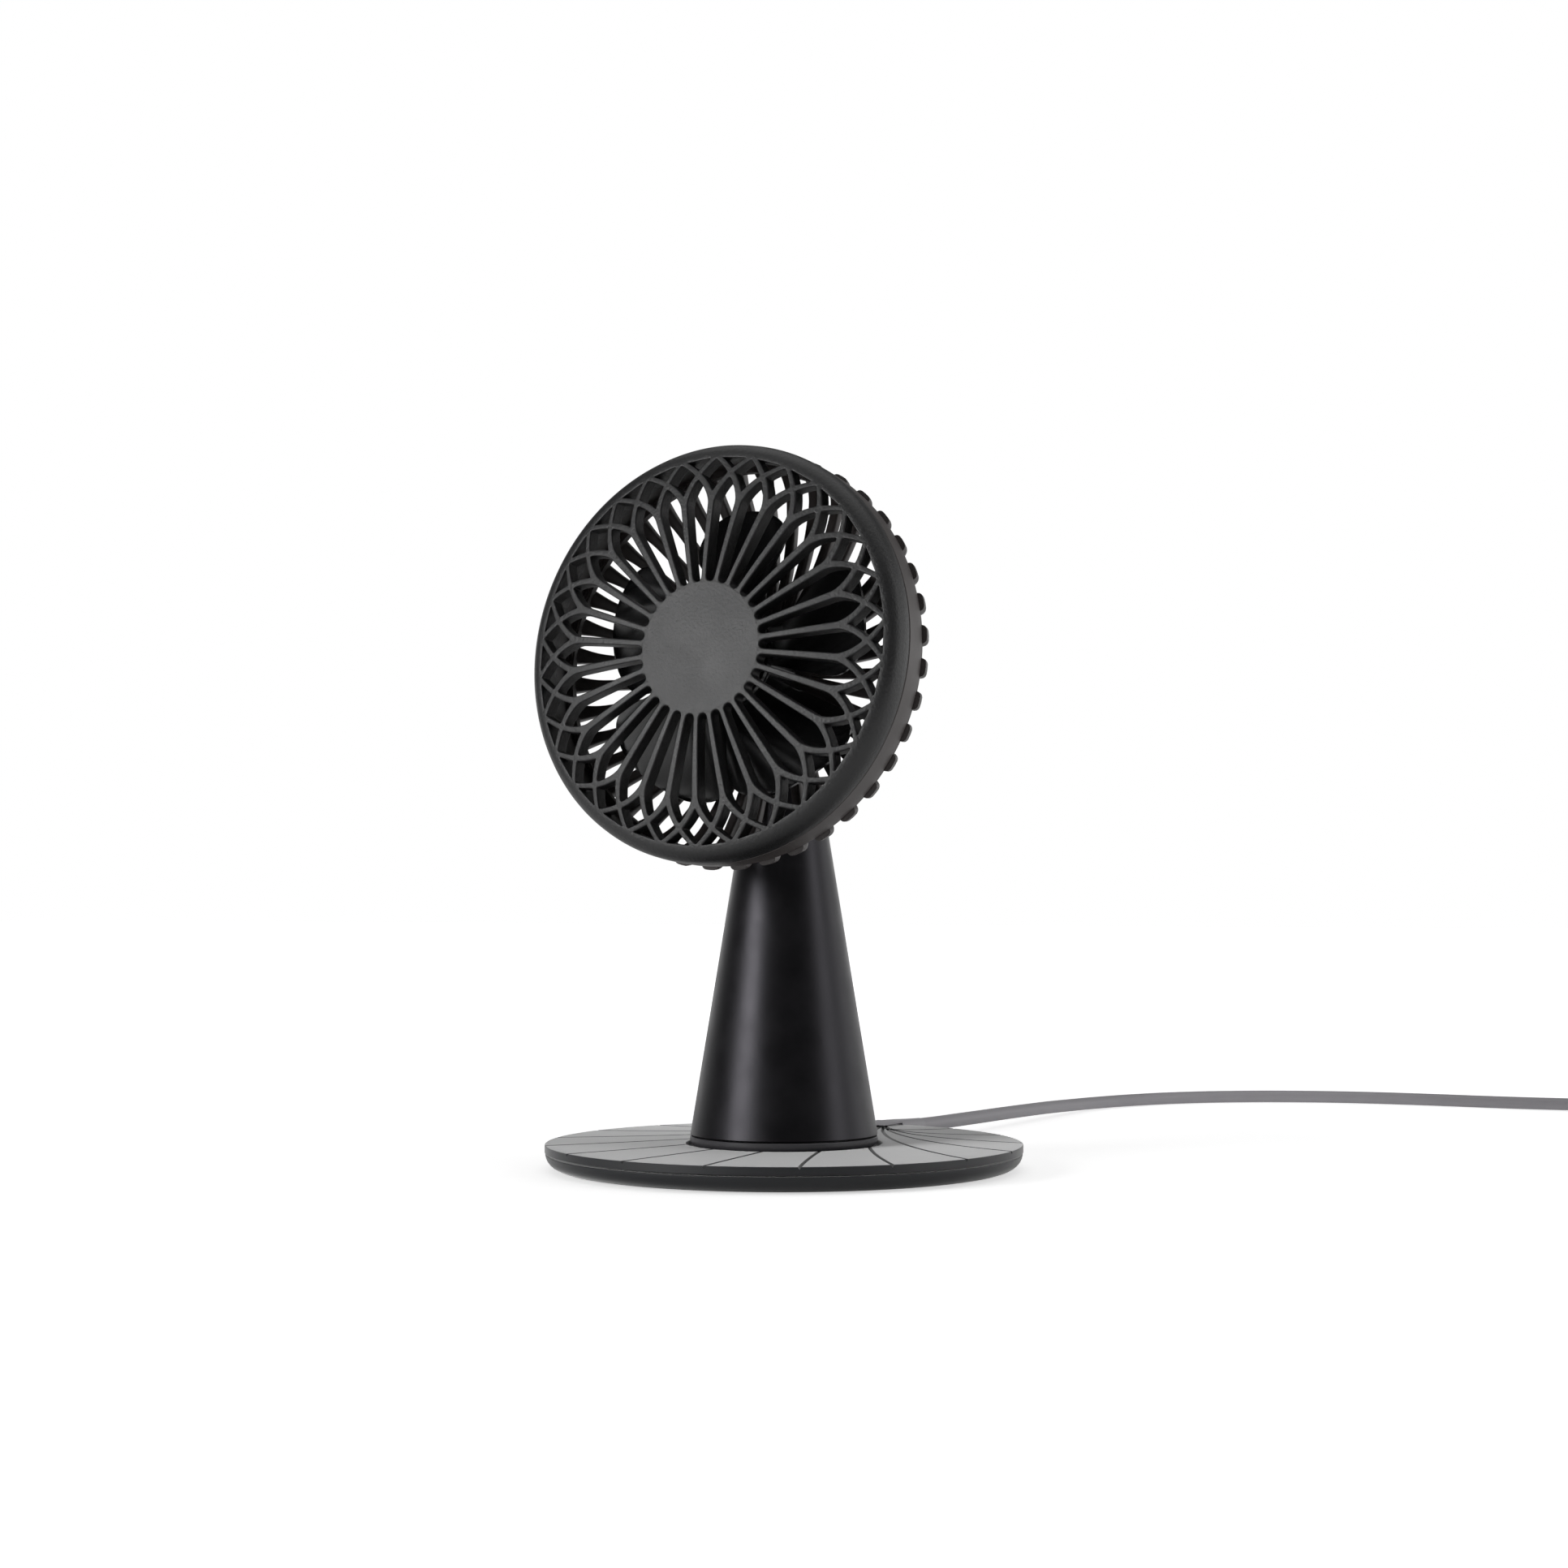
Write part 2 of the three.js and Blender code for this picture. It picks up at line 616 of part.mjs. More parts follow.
const toothCount = 6;
const toothOutline = spaced(toothCount, (i) => {
  const middle = (i * 2 * Math.PI) / toothCount;
  const root = tubeRadius + 2;
  const neckIn = rad(14);
  const shoe = rad(25);
  return [
    polar(root, middle - neckIn),
    polar(statorRadius - 1.6, middle - neckIn * 0.55),
    polar(statorRadius - 1.2, middle - shoe),
    polar(statorRadius, middle - shoe),
    polar(statorRadius, middle + shoe),
    polar(statorRadius - 1.2, middle + shoe),
    polar(statorRadius - 1.6, middle + neckIn * 0.55),
    polar(root, middle + neckIn),
  ];
}).flat();
const statorBore = spaced(narrow, (i) => polar(tubeRadius + 0.2, (i * 2 * Math.PI) / narrow));
piece(
  head, 'stator_core',
  extruded(toothOutline, statorFront - statorBack, [statorBore]).translate(0, 0, statorBack),
  steel,
);
const winding = (low, high) => ring(tubeRadius + 1.2, statorRadius - 1.4, low, high);
piece(head, 'winding_front', winding(statorFront + gap, statorFront + 1.6), copper);
piece(head, 'winding_rear', winding(statorBack - 1.6, statorBack - gap), copper);
const motorBoardTop = rotorBack - 1.4;
piece(
  head, 'motor_board',
  ring(tubeRadius + gap, statorRadius + 0.6, motorBoardTop - 1.2, motorBoardTop),
  greenBoard,
);
piece(
  head, 'rotor_magnet',
  ring(magnetRadius - 1.9, magnetRadius, rotorBack + 0.6, rotorFront - 4),
  ferrite,
);

const bladeTip = headRadius - tipClearance;
const bladeMiddle = (rotorFront + rotorBack) / 2 + 0.5;
const bladeTwist = (rotorDepth - bladeThick - 0.5) / (2 * rad(bladeSpan)); // travel per radian
function blade(turn) {
  const tip = rad(bladeSpan);
  const root = rad(bladeSpan + 3);
  const arc = (radius, from, to, steps) =>
    spaced(steps + 1, (i) => polar(radius, from + ((to - from) * i) / steps));
  const inner = arc(rotorRadius - 1, root, -root, 3);
  const outer = arc(bladeTip, -tip * 0.8, tip * 0.72, 5);
  const outline = [
    ...inner,
    polar(bladeTip * 0.62, -tip * 1.12),
    polar(bladeTip * 0.93, -tip),
    ...outer,
    polar(bladeTip * 0.9, tip * 0.98),
    polar(bladeTip * 0.6, tip * 1.12),
  ];
  return bent(extruded(outline, bladeThick), (at) => {
    at.z += bladeMiddle - bladeThick / 2 - bladeTwist * Math.atan2(at.y, at.x);
  }).rotateZ(turn);
}
const cup = turned([
  [0, rotorFront],
  [rotorRadius - 1.5, rotorFront],
  [rotorRadius, rotorFront - 1.5],
  [rotorRadius, rotorBack],
  [cupRadius, rotorBack],
  [cupRadius, rotorFront - 1.8],
  [3.2, rotorFront - 1.8],
  [3.2, rotorFront - 4.2],
  [shaftRadius + runningGap, rotorFront - 4.2],
  [shaftRadius + runningGap, rotorFront - 1.9],
  [0, rotorFront - 1.9],
], middling);
const blades = spaced(bladeCount, (i) => blade((i * 2 * Math.PI) / bladeCount + Math.PI / 2));
piece(head, 'impeller', joined(cup, ...blades), glossBlack);

// The motor's lead: from the control board through the neck to the motor board --------------

const throughHub = (z) => p3(0, -ductDrop, z).applyMatrix4(head.matrix);
const leadStart = boardFront - gap - 1.2;
piece(fan, 'motor_lead', tube([
  p3(0, leadStart, boardTop - 2.5),
  p3(0, leadStart - 0.3, boardTop + 3),
  p3(0, 1.2, stemTop - 6),
  p3(0, 0, stemTop + 4),
  p3(0, 0, ductTop - 9),
  p3(0, -0.3, ductTop - 4.6),
  p3(0, -2.4, ductTop - 1.9),
  throughHub(-headReach + 5),
  throughHub(-rearDepth),
  throughHub(motorBoardTop - 1.2 - gap),
], 1.1, 22, 6), blackRubber);

// The charging lead: gland, cord, coil with its tie, plug -----------------------------------

const glandEnd = 92;
const glandTop = dockHeight + 1.1;
const cordExit = 5.3; // height of the cord's middle where it leaves the gland
const behindRim = dockRadius + 0.4;
const gland = extruded([
  p2(dockRadius - 10, dockHeight + gap),
  p2(behindRim, dockHeight + gap),
  p2(behindRim, 3.3),
  p2(behindRim + 1.2, cordExit - cordRadius - 0.2),
  p2(glandEnd, cordExit - cordRadius - 0.2),
  p2(glandEnd, cordExit + cordRadius + 0.2),
  p2(glandEnd - 9, glandTop - 0.2),
  p2(dockRadius + 2, glandTop),
  p2(dockRadius - 3, glandTop - 0.1),
  p2(dockRadius - 7, glandTop - 0.4),
], glandWidth)
  .translate(0, 0, -glandWidth / 2)
  .applyMatrix4(new THREE.Matrix4().makeBasis(p3(0, 1, 0), p3(0, 0, 1), p3(1, 0, 0)));
piece(fan, 'lead_gland', gland, greyPvc);

const coilCentre = p2(206, 288);
const cordPoints = [
  p3(0, glandEnd + gap, cordExit),
  p3(0, 97, 5.2),
  p3(0, 106, 5.0),
  p3(0, 120, 4.8),
  p3(0, 138, 4.5),
  p3(0, 158, 4.2),
  p3(0, 180, 3.8),
  p3(0, 202, 3.3),
  p3(0.6, 220, 2.8),
  p3(3, 240, 2.4),
  p3(10, 261, cordRadius),
  p3(22, 280, cordRadius),
  p3(39, 296, cordRadius),
  p3(60, 307.5, cordRadius),
  p3(83, 314, cordRadius),
  p3(108, 316, cordRadius),
  p3(136, 316, cordRadius),
  p3(165, 316, 2.5),
  p3(coilCentre.x - 15.5, 316, 2.9),
];
piece(fan, 'lead_cord', tube(cordPoints, cordRadius, 44), greyPvc);

const coilLow = 0.7; // the tie passes under the coil
const coilPitch = 2 * cordRadius + 0.1;
const coilHalf = coilPitch + cordRadius + 0.1; // three turns side by side
const coilInner = coilRadius - coilHalf;
const coilOuter = coilRadius + coilHalf;
const coilTop = coilLow + 4 * cordRadius - 0.5;
piece(
  fan, 'lead_coil',
  ring(coilInner, coilOuter, coilLow, coilTop, middling).translate(coilCentre.x, coilCentre.y, 0),
  greyPvc,
);
const tieThick = 0.6;
const tieHalf = 5;
const tieIn = { x0: coilInner - 2.6, x1: coilOuter + gap, z0: coilLow - 0.1, z1: coilTop + gap };
const tie = cut(
  block(tieIn.x0 - tieThick, tieIn.x1 + tieThick, -tieHalf, tieHalf, 0, tieIn.z1 + tieThick),
  block(tieIn.x0, tieIn.x1, -tieHalf - 1, tieHalf + 1, tieIn.z0, tieIn.z1),
).translate(coilCentre.x, coilCentre.y, 0);
piece(fan, 'coil_tie', tie, blackRubber);

const plugAt = p3(coilOuter + coilCentre.x + 4, coilCentre.y - 46, 0);
const tailPoints = [
  p3(plugAt.x - 2.2, coilCentre.y - 9.5, 3.3),
  p3(plugAt.x - 1.2, coilCentre.y - 14, 3.4),
  p3(plugAt.x - 0.3, coilCentre.y - 20, 3.7),
  p3(plugAt.x, coilCentre.y - 26, 3.9),
];
piece(fan, 'lead_tail', tube(tailPoints, cordRadius, 3), greyPvc);
const plugHigh = 7.8;
piece(
  fan, 'plug_body',
  block(plugAt.x - 7.8, plugAt.x + 7.8, plugAt.y - 4, plugAt.y + 19.7, 0, plugHigh),
  greyPvc,
);
const tongue = { half: 6, high: 4.5, long: 11.5 };
const tongueLow = (plugHigh - tongue.high) / 2;
const tongueBox = block(
  plugAt.x - tongue.half, plugAt.x + tongue.half,
  plugAt.y - 4 - gap - tongue.long, plugAt.y - 4 - gap, tongueLow, tongueLow + tongue.high,
);
const tongueMouth = block(
  plugAt.x - tongue.half + 0.4, plugAt.x + tongue.half - 0.4,
  plugAt.y - 40, plugAt.y - 6, tongueLow + 2.2, tongueLow + tongue.high - 0.4,
);
piece(fan, 'plug_shell', cut(tongueBox, tongueMouth), steel);

export default fan;
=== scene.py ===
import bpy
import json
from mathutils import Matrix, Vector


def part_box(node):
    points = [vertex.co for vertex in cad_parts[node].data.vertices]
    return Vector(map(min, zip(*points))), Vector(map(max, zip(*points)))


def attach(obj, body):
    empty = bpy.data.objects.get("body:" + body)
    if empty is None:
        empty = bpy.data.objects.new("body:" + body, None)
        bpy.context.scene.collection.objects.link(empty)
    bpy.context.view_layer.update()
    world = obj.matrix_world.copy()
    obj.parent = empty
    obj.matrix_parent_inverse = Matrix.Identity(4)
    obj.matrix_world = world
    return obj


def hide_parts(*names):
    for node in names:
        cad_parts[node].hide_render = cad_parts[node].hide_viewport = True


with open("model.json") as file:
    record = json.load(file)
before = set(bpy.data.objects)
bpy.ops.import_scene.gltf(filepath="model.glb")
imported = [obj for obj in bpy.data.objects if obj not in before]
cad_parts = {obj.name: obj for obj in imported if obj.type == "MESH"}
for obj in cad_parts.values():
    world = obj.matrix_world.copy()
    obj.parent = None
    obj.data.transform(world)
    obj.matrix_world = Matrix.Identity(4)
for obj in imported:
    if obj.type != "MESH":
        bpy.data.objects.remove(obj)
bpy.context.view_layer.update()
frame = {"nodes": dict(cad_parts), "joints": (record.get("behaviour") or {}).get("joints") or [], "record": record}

import json
import math

import bmesh
import bpy
import numpy as np
from mathutils import Matrix, Vector

MM = 0.001

# The camera --------------------------------------------------------------------------
# A short telephoto at the height of the stem, to the right of the fan's face, looking
# slightly up at the middle of the fan.

AIM = Vector((0, 0, 112.7)) * MM
STAND = Vector((362.25, -667.26, 78.98)) * MM

lens = bpy.data.cameras.new("camera")
lens.sensor_width = 36
lens.lens = 59.06
lens.clip_start = 0.01
camera = bpy.data.objects.new("camera", lens)
camera.location = STAND
camera.rotation_euler = (AIM - STAND).to_track_quat("-Z", "Y").to_euler()
bpy.context.scene.collection.objects.link(camera)
bpy.context.scene.camera = camera


# The charging lead ---------------------------------------------------------------------
# A 4.5 mm lead in soft grey PVC, 1.03 m long, moulded into a flat gland at the back of the
# dock. It sinks to the table, runs off to the right and ends in a neat coil with a strap.

def linear(hex_colour):
    """An sRGB hex colour as the linear one that shaders take."""
    channels = [int(hex_colour[i:i + 2], 16) / 255 for i in (1, 3, 5)]
    return [c / 12.92 if c <= 0.04045 else ((c + 0.055) / 1.055) ** 2.4 for c in channels] + [1]


def add(tree, kind, inputs=(), **settings):
    """Adds a node: its settings, then its inputs, each a value or another node's output."""
    made = tree.nodes.new(kind)
    for key, value in settings.items():
        setattr(made, key, value)
    for key, value in dict(inputs).items():
        if isinstance(value, bpy.types.NodeSocket):
            tree.links.new(value, made.inputs[key])
        else:
            made.inputs[key].default_value = value
    return made


def new_material(name, hex_colour, roughness, metallic=0.0, **constants):
    """A material with a bare shader: its tree, the shader and the object's coordinates."""
    material = bpy.data.materials.new(name)
    material.use_nodes = True
    material.diffuse_color = linear(hex_colour)
    tree = material.node_tree
    tree.nodes.clear()
    shader = add(tree, "ShaderNodeBsdfPrincipled", {
        "Base Color": linear(hex_colour), "Roughness": roughness, "Metallic": metallic,
        **{key.replace("_", " ").title().replace("Ior", "IOR"): value
           for key, value in constants.items()},
    })
    add(tree, "ShaderNodeOutputMaterial", {"Surface": shader.outputs[0]})
    place = add(tree, "ShaderNodeTexCoord").outputs["Object"]
    return material, tree, shader, place


def mottle(tree, shader, place, hex_low, hex_high, size, roughness):
    """Lets the colour and the gloss drift between two values over patches of a size in mm."""
    patches = add(tree, "ShaderNodeTexNoise", {"Vector": place, "Scale": 1 / (size * MM),
                                               "Detail": 4.0, "Roughness": 0.55})
    # 6, 7 and 2 are the Mix node's sockets for colours: its A, its B and its result
    colour = add(tree, "ShaderNodeMix", {"Factor": patches.outputs["Fac"], 6: linear(hex_low),
                                         7: linear(hex_high)}, data_type="RGBA")
    tree.links.new(colour.outputs[2], shader.inputs["Base Color"])
    gloss = add(tree, "ShaderNodeMapRange", {"Value": patches.outputs["Fac"], "From Min": 0.3,
                                             "From Max": 0.7, "To Min": roughness[0],
                                             "To Max": roughness[1]})
    tree.links.new(gloss.outputs[0], shader.inputs["Roughness"])


def grain(tree, shader, place, size, height):
    """A raised noise on the surface, its spacing and height in mm."""
    pits = add(tree, "ShaderNodeTexNoise", {"Vector": place, "Scale": 1 / (size * MM),
                                            "Detail": 2.0, "Roughness": 0.6})
    bump = add(tree, "ShaderNodeBump", {"Height": pits.outputs["Fac"], "Distance": height * MM,
                                        "Strength": 1.0})
    tree.links.new(bump.outputs[0], shader.inputs["Normal"])


def grey_pvc():
    """Soft PVC, moulded and extruded: an even satin with faint drawn unevenness."""
    material, tree, shader, place = new_material("soft grey PVC", "#918f93", 0.5, ior=1.53)
    mottle(tree, shader, place, "#8c8a8e", "#969498", 6, (0.46, 0.56))
    grain(tree, shader, place, 0.7, 0.012)
    return material


GREY_PVC = grey_pvc()
CORD_RADIUS = 2.25 * MM
COIL_CENTRE = Vector((206, 288, 0)) * MM
TURNS = 4.25
OUTER_TURN = 27.6  # radius in mm
PITCH = 4.6  # from turn to turn
BOTTOM = 2.95  # height in mm of the lower layer's middle, and of the upper layer's
TOP = 6.85


def eased(value, start, end):
    """Goes from 0 to 1 between two values, slowly at both ends."""
    share = min(1.0, max(0.0, (value - start) / (end - start)))
    return share * share * (3 - 2 * share)


def coil_point(turn):
    """Three turns on the table from the outside in, then one and a quarter on top of them."""
    radius = OUTER_TURN - PITCH * (eased(turn, 0.88, 1.0) + eased(turn, 1.88, 2.0))
    radius += PITCH / 2 * eased(turn, 2.86, 3.0) + PITCH * eased(turn, 3.48, 3.62)
    height = BOTTOM + (TOP - BOTTOM) * eased(turn, 2.84, 2.98)
    height += 0.3 * (eased(turn, 3.46, 3.54) - eased(turn, 3.56, 3.64))
    angle = math.pi / 2 - 2 * math.pi * turn
    return COIL_CENTRE + Vector((radius * math.cos(angle), radius * math.sin(angle), height)) * MM


free_route = [  # from the gland to the coil's first turn
    (0, 92.3, 5.3), (0, 97, 5.2), (0, 106, 5.0), (0, 120, 4.8), (0, 138, 4.5), (0, 158, 4.2),
    (0, 180, 3.8), (0, 202, 3.3), (0.6, 220, 2.8), (3, 240, 2.4), (10, 261, 2.25), (22, 280, 2.25),
    (39, 296, 2.25), (60, 307.5, 2.25), (83, 314, 2.25), (108, 316, 2.25), (136, 316, 2.25),
    (165, 316, 2.5), (190.5, 316, 2.9),
]
tail_route = [  # from the coil's centre
    (27, -5.2, 7.3), (29.6, -9.3, 6.3), (31.9, -13.3, 4.9), (33.2, -18, 4.1), (33.85, -23, 3.9),
    (33.95, -26, 3.9), (33.95, -30, 3.9),
]
STEPS = 102
route = [Vector(point) * MM for point in free_route]
route += [coil_point(TURNS * i / STEPS) for i in range(STEPS + 1)]
route += [COIL_CENTRE + Vector(point) * MM for point in tail_route]

line = bpy.data.curves.new("charging_lead", "CURVE")
line.dimensions = "3D"
line.resolution_u = 4
line.bevel_depth = CORD_RADIUS
line.bevel_resolution = 4
line.use_fill_caps = True
spline = line.splines.new("BEZIER")
spline.bezier_points.add(len(route) - 1)
for point, place in zip(spline.bezier_points, route):
    point.co = place
    point.handle_left_type = point.handle_right_type = "AUTO"
line.materials.append(GREY_PVC)
charging_lead = bpy.data.objects.new("charging_lead", line)
bpy.context.scene.collection.objects.link(charging_lead)


def settle(thing, body, slot, *nodes):
    """Puts a finished piece on its body and in place of its CAD nodes; its material slot is not used."""
    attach(thing, body)
    if nodes:
        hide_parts(*nodes)


settle(charging_lead, "dock", "grey_pvc", "lead_cord", "lead_coil", "lead_tail")


# The fittings on the lead --------------------------------------------------------------
# The gland is a flat wedge moulded round the lead at the back of the dock. The plug is a
# moulded grip round a folded steel shell. The strap is a loop of soft rubber.

def mesh_object(name, made, material):
    """A bmesh as a finished object at the origin, its faces turned outwards."""
    bmesh.ops.remove_doubles(made, verts=made.verts, dist=1e-6)
    bmesh.ops.recalc_face_normals(made, faces=made.faces)
    mesh = bpy.data.meshes.new(name)
    made.to_mesh(mesh)
    made.free()
    mesh.materials.append(material)
    thing = bpy.data.objects.new(name, mesh)
    bpy.context.scene.collection.objects.link(thing)
    return thing


def modified(thing, *modifiers):
    """Applies modifiers, each a type and its settings, and leaves a plain mesh."""
    for kind, settings in modifiers:
        modifier = thing.modifiers.new(kind.lower(), kind)
        for key, value in settings.items():
            setattr(modifier, key, value)
    plain = bpy.data.meshes.new_from_object(
        thing.evaluated_get(bpy.context.evaluated_depsgraph_get()))
    thing.modifiers.clear()
    thing.data = plain
    plain.name = thing.name
    return thing


def shaded(thing, sharp=38):
    """Smooth faces with hard edges above an angle, and flat faces kept flat to their rims."""
    thing.data.shade_smooth()
    thing.data.set_sharp_from_angle(angle=math.radians(sharp))
    return modified(thing, ("WEIGHTED_NORMAL", {"keep_sharp": True, "weight": 60}))


def rounded(thing, width, limit=30):
    """Rounds the edges of a blocky piece, in mm."""
    modified(thing, ("BEVEL", {"width": width * MM, "segments": 2, "limit_method": "ANGLE",
                               "angle_limit": math.radians(limit), "harden_normals": False}))
    return shaded(thing)


def lofted(sections, name, material):
    """A closed skin over rings of points, in mm, capped at both ends."""
    made = bmesh.new()
    rings = [[made.verts.new(Vector(point) * MM) for point in section] for section in sections]
    for here, there in zip(rings, rings[1:]):
        for i in range(len(here)):
            j = (i + 1) % len(here)
            made.faces.new((here[i], here[j], there[j], there[i]))
    made.faces.new(rings[0])
    made.faces.new(rings[-1])
    return mesh_object(name, made, material)


def rounded_section(x0, x1, z0, z1, radius, steps):
    """A rectangle with round corners, as points of (x, z) from the lower right corner round."""
    radius = min(radius, (x1 - x0) / 2 * 0.98, (z1 - z0) * 0.49)
    points = []
    for x, z, start in ((x1 - radius, z0 + radius, -90), (x1 - radius, z1 - radius, 0),
                        (x0 + radius, z1 - radius, 90), (x0 + radius, z0 + radius, 180)):
        for i in range(steps + 1):
            turn = math.radians(start + 90 * i / steps)
            points.append((x + radius * math.cos(turn), z + radius * math.sin(turn)))
    return points


def box_of(node):
    """The two corners of a CAD node's box, in mm."""
    return [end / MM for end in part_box(node)]


GLAND_HALF = 4.5
CORD_EXIT = 5.3  # height of the lead's middle where it leaves the gland
dock_radius, dock_top = box_of("dock_plate")[1].xz
gland_end, gland_top = box_of("lead_gland")[1].yz
lead_half = CORD_RADIUS / MM
gland_under = CORD_EXIT - lead_half - 0.15
gland_ribs = [  # along Y: half width, bottom and top
    (dock_radius - 10, 3.3, dock_top + 0.3, dock_top + 0.5),
    (dock_radius - 8.5, 3.9, dock_top + 0.3, gland_top - 0.55),
    (dock_radius - 6, GLAND_HALF, dock_top + 0.3, gland_top - 0.25),
    (dock_radius - 2, GLAND_HALF, dock_top + 0.3, gland_top - 0.02),
    (dock_radius + 0.4, GLAND_HALF, dock_top + 0.3, gland_top - 0.02),
    (dock_radius + 0.45, GLAND_HALF, 3.4, gland_top - 0.02),
    (dock_radius + 2.5, 4.4, gland_under, gland_top - 0.05),
    (dock_radius + 8, 3.9, gland_under, gland_top - 0.25),
    (dock_radius + 15, 3.1, gland_under, CORD_EXIT + lead_half + 0.35),
    (gland_end, lead_half + 0.15, CORD_EXIT - lead_half - 0.12, CORD_EXIT + lead_half + 0.12),
]
gland_sections = []
for i, (y, half, low, high) in enumerate(gland_ribs):
    softness = 2.3 if i == len(gland_ribs) - 1 else 1.1 + 0.12 * i
    outline = rounded_section(-half, half, low, high, softness, 5)
    gland_sections.append([(x, y, z) for x, z in outline])
lead_gland = shaded(lofted(gland_sections, "gland", GREY_PVC), 60)
settle(lead_gland, "dock", "grey_pvc", "lead_gland")


def matt_rubber():
    """Moulded rubber: matt, with a fine dusty grain."""
    material, tree, shader, place = new_material("matt black rubber", "#1a1a1b", 0.8)
    mottle(tree, shader, place, "#171718", "#202021", 3, (0.74, 0.88))
    grain(tree, shader, place, 0.3, 0.02)
    return material


RUBBER = matt_rubber()
STRAP = 0.6  # thickness of the strap
tie_low, tie_high = box_of("coil_tie")
outside = rounded_section(tie_low.x, tie_high.x, 0, tie_high.z, 2.4, 6)
inside = rounded_section(tie_low.x + STRAP, tie_high.x - STRAP, STRAP, tie_high.z - STRAP, 1.8, 6)
made = bmesh.new()
rings = []
for y, loop in ((tie_low.y, outside), (tie_high.y, outside),
                (tie_high.y, inside), (tie_low.y, inside)):
    rings.append([made.verts.new(Vector((x, y, z)) * MM) for x, z in loop])
for k in range(4):
    here, there = rings[k], rings[(k + 1) % 4]
    for i in range(len(here)):
        j = (i + 1) % len(here)
        made.faces.new((here[i], here[j], there[j], there[i]))
coil_strap = rounded(mesh_object("coil_strap", made, RUBBER), 0.15, 60)
settle(coil_strap, "dock", "black_rubber", "coil_tie")

grip_low, grip_high = box_of("plug_body")
grip_middle = (grip_low + grip_high) / 2
NARROWED = 0.55  # width of the grip at the lead's end, as a share of its full width
made = bmesh.new()
bmesh.ops.create_cube(made, size=1, matrix=Matrix.Translation(grip_middle * MM)
                      @ Matrix.Diagonal((*(grip_high - grip_low) * MM, 1)))
for vert in made.verts:
    if vert.co.y > (grip_high.y - 1) * MM:
        vert.co.x = (vert.co.x - grip_middle.x * MM) * NARROWED + grip_middle.x * MM
grip = modified(mesh_object("plug_grip", made, GREY_PVC),
                ("BEVEL", {"width": 1.6 * MM, "segments": 5, "limit_method": "ANGLE"}))
shaded(grip)
settle(grip, "dock", "grey_pvc", "plug_body")


def zinc_steel():
    """Bright zinc-plated sheet: a metal with a soft rolled streak."""
    material, tree, shader, place = new_material("zinc plated steel", "#b9babd", 0.3, 1.0)
    stretched = add(tree, "ShaderNodeMapping", {"Vector": place, "Scale": (9000, 400, 9000)})
    streak = add(tree, "ShaderNodeTexNoise", {"Vector": stretched.outputs[0], "Scale": 1.0})
    gloss = add(tree, "ShaderNodeMapRange", {"Value": streak.outputs["Fac"], "To Min": 0.24,
                                             "To Max": 0.4})
    tree.links.new(gloss.outputs[0], shader.inputs["Roughness"])
    return material


ZINC_STEEL = zinc_steel()
SHEET = 0.35  # thickness of the folded sheet
shell_low, shell_high = box_of("plug_shell")
x0, y0, z0 = shell_low
x1, y1, z1 = shell_high
folds = [  # round the shut end, out to the mouth and back inside
    (x0, x1, z0, z1, y1), (x0, x1, z0, z1, y0),
    (x0 + SHEET, x1 - SHEET, z0 + SHEET, z1 - SHEET, y0),
    (x0 + SHEET, x1 - SHEET, z0 + SHEET, z1 - SHEET, y1 - SHEET),
]
shell_sections = [[(a, y, c), (b, y, c), (b, y, d), (a, y, d)] for a, b, c, d, y in folds]
steel_shell = rounded(lofted(shell_sections, "plug_shell_folded", ZINC_STEEL), 0.15)
settle(steel_shell, "dock", "steel", "plug_shell")


# The studio ----------------------------------------------------------------------------
# A white table that runs on into a white background. One soft box low on the left lights the
# fan's face, two on the right light its edges, and a large one hangs overhead. The room behind
# the camera is dark, so that black plastic keeps its edges.

def white_table():
    """Matt white laminate. It also glows away from the fan, and so is white to the horizon."""
    material, tree, shader, place = new_material("white laminate", "#d8d8d8", 0.9)
    shader.inputs["Emission Color"].default_value = (1, 1, 1, 1)
    away = add(tree, "ShaderNodeVectorMath", {0: place}, operation="LENGTH")
    glow = add(tree, "ShaderNodeMapRange", {"Value": away.outputs["Value"], "From Min": 0.2,
                                            "From Max": 1.0, "To Min": 0.6, "To Max": 1.1})
    bounce = add(tree, "ShaderNodeMapRange", {"Value": away.outputs["Value"], "From Min": 0.075,
                                              "From Max": 0.25, "To Min": 0.0, "To Max": 0.35})
    path = add(tree, "ShaderNodeLightPath")
    shine = add(tree, "ShaderNodeMapRange", {"Value": path.outputs["Is Camera Ray"],
                                             "To Min": bounce.outputs[0],
                                             "To Max": glow.outputs[0]})
    tree.links.new(shine.outputs[0], shader.inputs["Emission Strength"])
    return material


made = bmesh.new()
bmesh.ops.create_grid(made, x_segments=1, y_segments=1, size=6)
table = mesh_object("table", made, white_table())
table.location.z = -0.0002

world = bpy.data.worlds.new("studio")
bpy.context.scene.world = world
world.use_nodes = True
sky = world.node_tree
sky.nodes.clear()
direction = add(sky, "ShaderNodeTexCoord").outputs["Generated"]
split = add(sky, "ShaderNodeSeparateXYZ", {"Vector": direction})
behind = add(sky, "ShaderNodeMapRange", {"Value": split.outputs["Y"], "From Min": -0.3,
                                         "From Max": 0.6, "To Min": 0.015, "To Max": 1.0},
             interpolation_type="SMOOTHSTEP")
low = add(sky, "ShaderNodeMapRange", {"Value": split.outputs["Z"], "From Min": 0.08,
                                      "From Max": 0.4, "To Min": 1.0, "To Max": 0.12},
          interpolation_type="SMOOTHSTEP")
room = add(sky, "ShaderNodeMath", {0: behind.outputs[0], 1: low.outputs[0]}, operation="MULTIPLY")
ambient = add(sky, "ShaderNodeBackground", {"Color": (1, 1, 1, 1), "Strength": room.outputs[0]})
